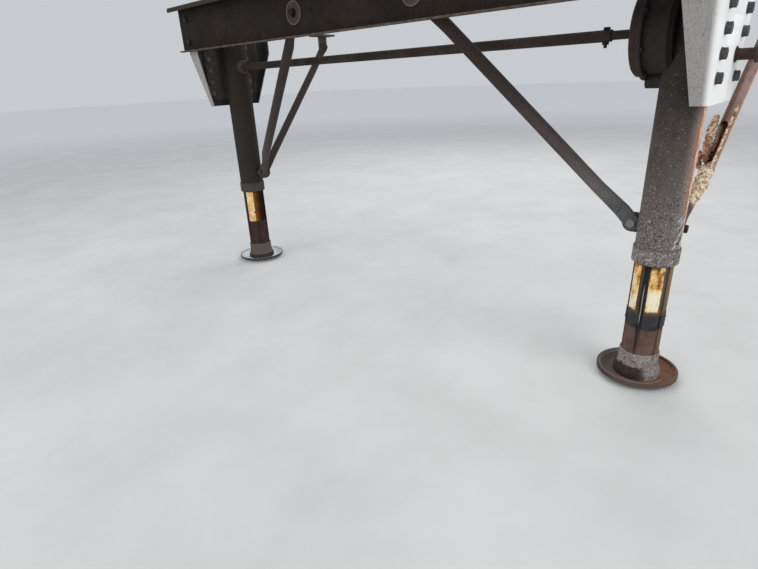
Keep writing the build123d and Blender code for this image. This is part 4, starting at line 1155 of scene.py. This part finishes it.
def brace_surface(up, normal):
    """The point of the brace's surface that faces along normal. Below the round pipe the brace is
    pressed flat, which brings its faces nearer to its axis."""
    thin = (Vector((0, 1, 0)) - BRACE_RUN * BRACE_RUN.y).normalized()
    pressed = 1.0 - min((up - TAB_END) / (PIPE_START - TAB_END), 1.0)
    thickness = BRACE_R + (TAB_HALF - BRACE_R) * pressed
    part = normal.dot(thin)
    reach = 1.0 / math.sqrt((part / thickness) ** 2 + (1.0 - part ** 2) / BRACE_R ** 2)
    return BRACE_LOW + BRACE_RUN * up + normal * (reach + 0.0002)


def make_flakes(material):
    """Loose scale on the left rear brace."""
    draw = random.Random(FLAKE_SEED)
    chips = []
    for up, turn in flake_places():
        normal = BRACE_OPEN * math.cos(turn) + BRACE_SIDE * math.sin(turn)
        chips.append(flake(brace_surface(up, normal), normal, draw))
    piece("scale_flakes", merged(chips), material, smooth=False)


def dress(names, material):
    for name in names:
        mesh = NODES[name].data
        mesh.materials.clear()
        mesh.materials.append(material)


def both(*names):
    return [f"{name}_{side}" for name in names for side in ("left", "right")]


def dress_in_plain_steel():
    """The pieces whose coat is the same all over."""
    steel = weathered("steel_paint", (0.072, 0.059, 0.053), (0.042, 0.035, 0.032))
    gear = weathered(
        "gear_paint", (0.030, 0.025, 0.023), (0.016, 0.014, 0.013), rust_share=0.28, grit=0.05
    )
    shaft = weathered(
        "shaft_steel", (0.052, 0.040, 0.032), (0.030, 0.023, 0.019), rust_share=0.34, grit=0.2
    )
    drive = weathered("input_steel", (0.070, 0.040, 0.034), (0.040, 0.024, 0.022), grit=0.1)
    bolts = weathered(
        "bolt_steel", (0.022, 0.021, 0.021), (0.012, 0.012, 0.012), rust_share=0.26, grit=0.15
    )
    crank = weathered("crank_steel", (0.060, 0.048, 0.043), (0.034, 0.028, 0.026))
    dress(both("leg_cap", "leg_lugs", "mounting_plate", "rear_bracket") + ["shaft_bearing"], steel.done())
    dress(["gear_case"], gear.done())
    dress(both("shaft_stub") + ["cross_shaft"], shaft.done(specular=0.12))
    dress(["input_shaft", "input_bushing"], drive.done())
    dress(both("coupling_bolt") + ["beam_bolts", "cover_bolts", "crank_pin"], bolts.done())
    dress(["crank_knuckle", "crank_handle", "crank_grip"], crank.done())


def dress_in_own_coats():
    """The pieces with a coat of their own."""
    dress(both("outer_tube"), tube_material())
    dress(both("leg_collar"), collar_material())
    dress(["inner_tube_left"], near_inner_material())
    dress(["inner_tube_right"], far_inner_material())
    dress(both("foot_boss"), boss_material())
    dress(both("foot_pad"), foot_material())
    dress(both("hanger"), hanger_material())
    dress(both("hanger_bolts"), hanger_bolt_material())
    dress(both("brace_bolts"), brace_bolt_material())
    dress(both("lateral_brace"), lateral_brace_material())
    dress(both("rear_brace"), rear_brace_material())
    dress(["cross_beam"], beam_material())
    dress(["gear_cover"], cover_material())


make_camera()
make_world()
make_floor()
make_lamps()
dress_in_plain_steel()
dress_in_own_coats()
make_welds(weld_material())
make_grease(grease_material())
make_torn_wall(scale_material())
make_flakes(scatter_material())

bpy.context.scene.view_settings.view_transform = "Standard"
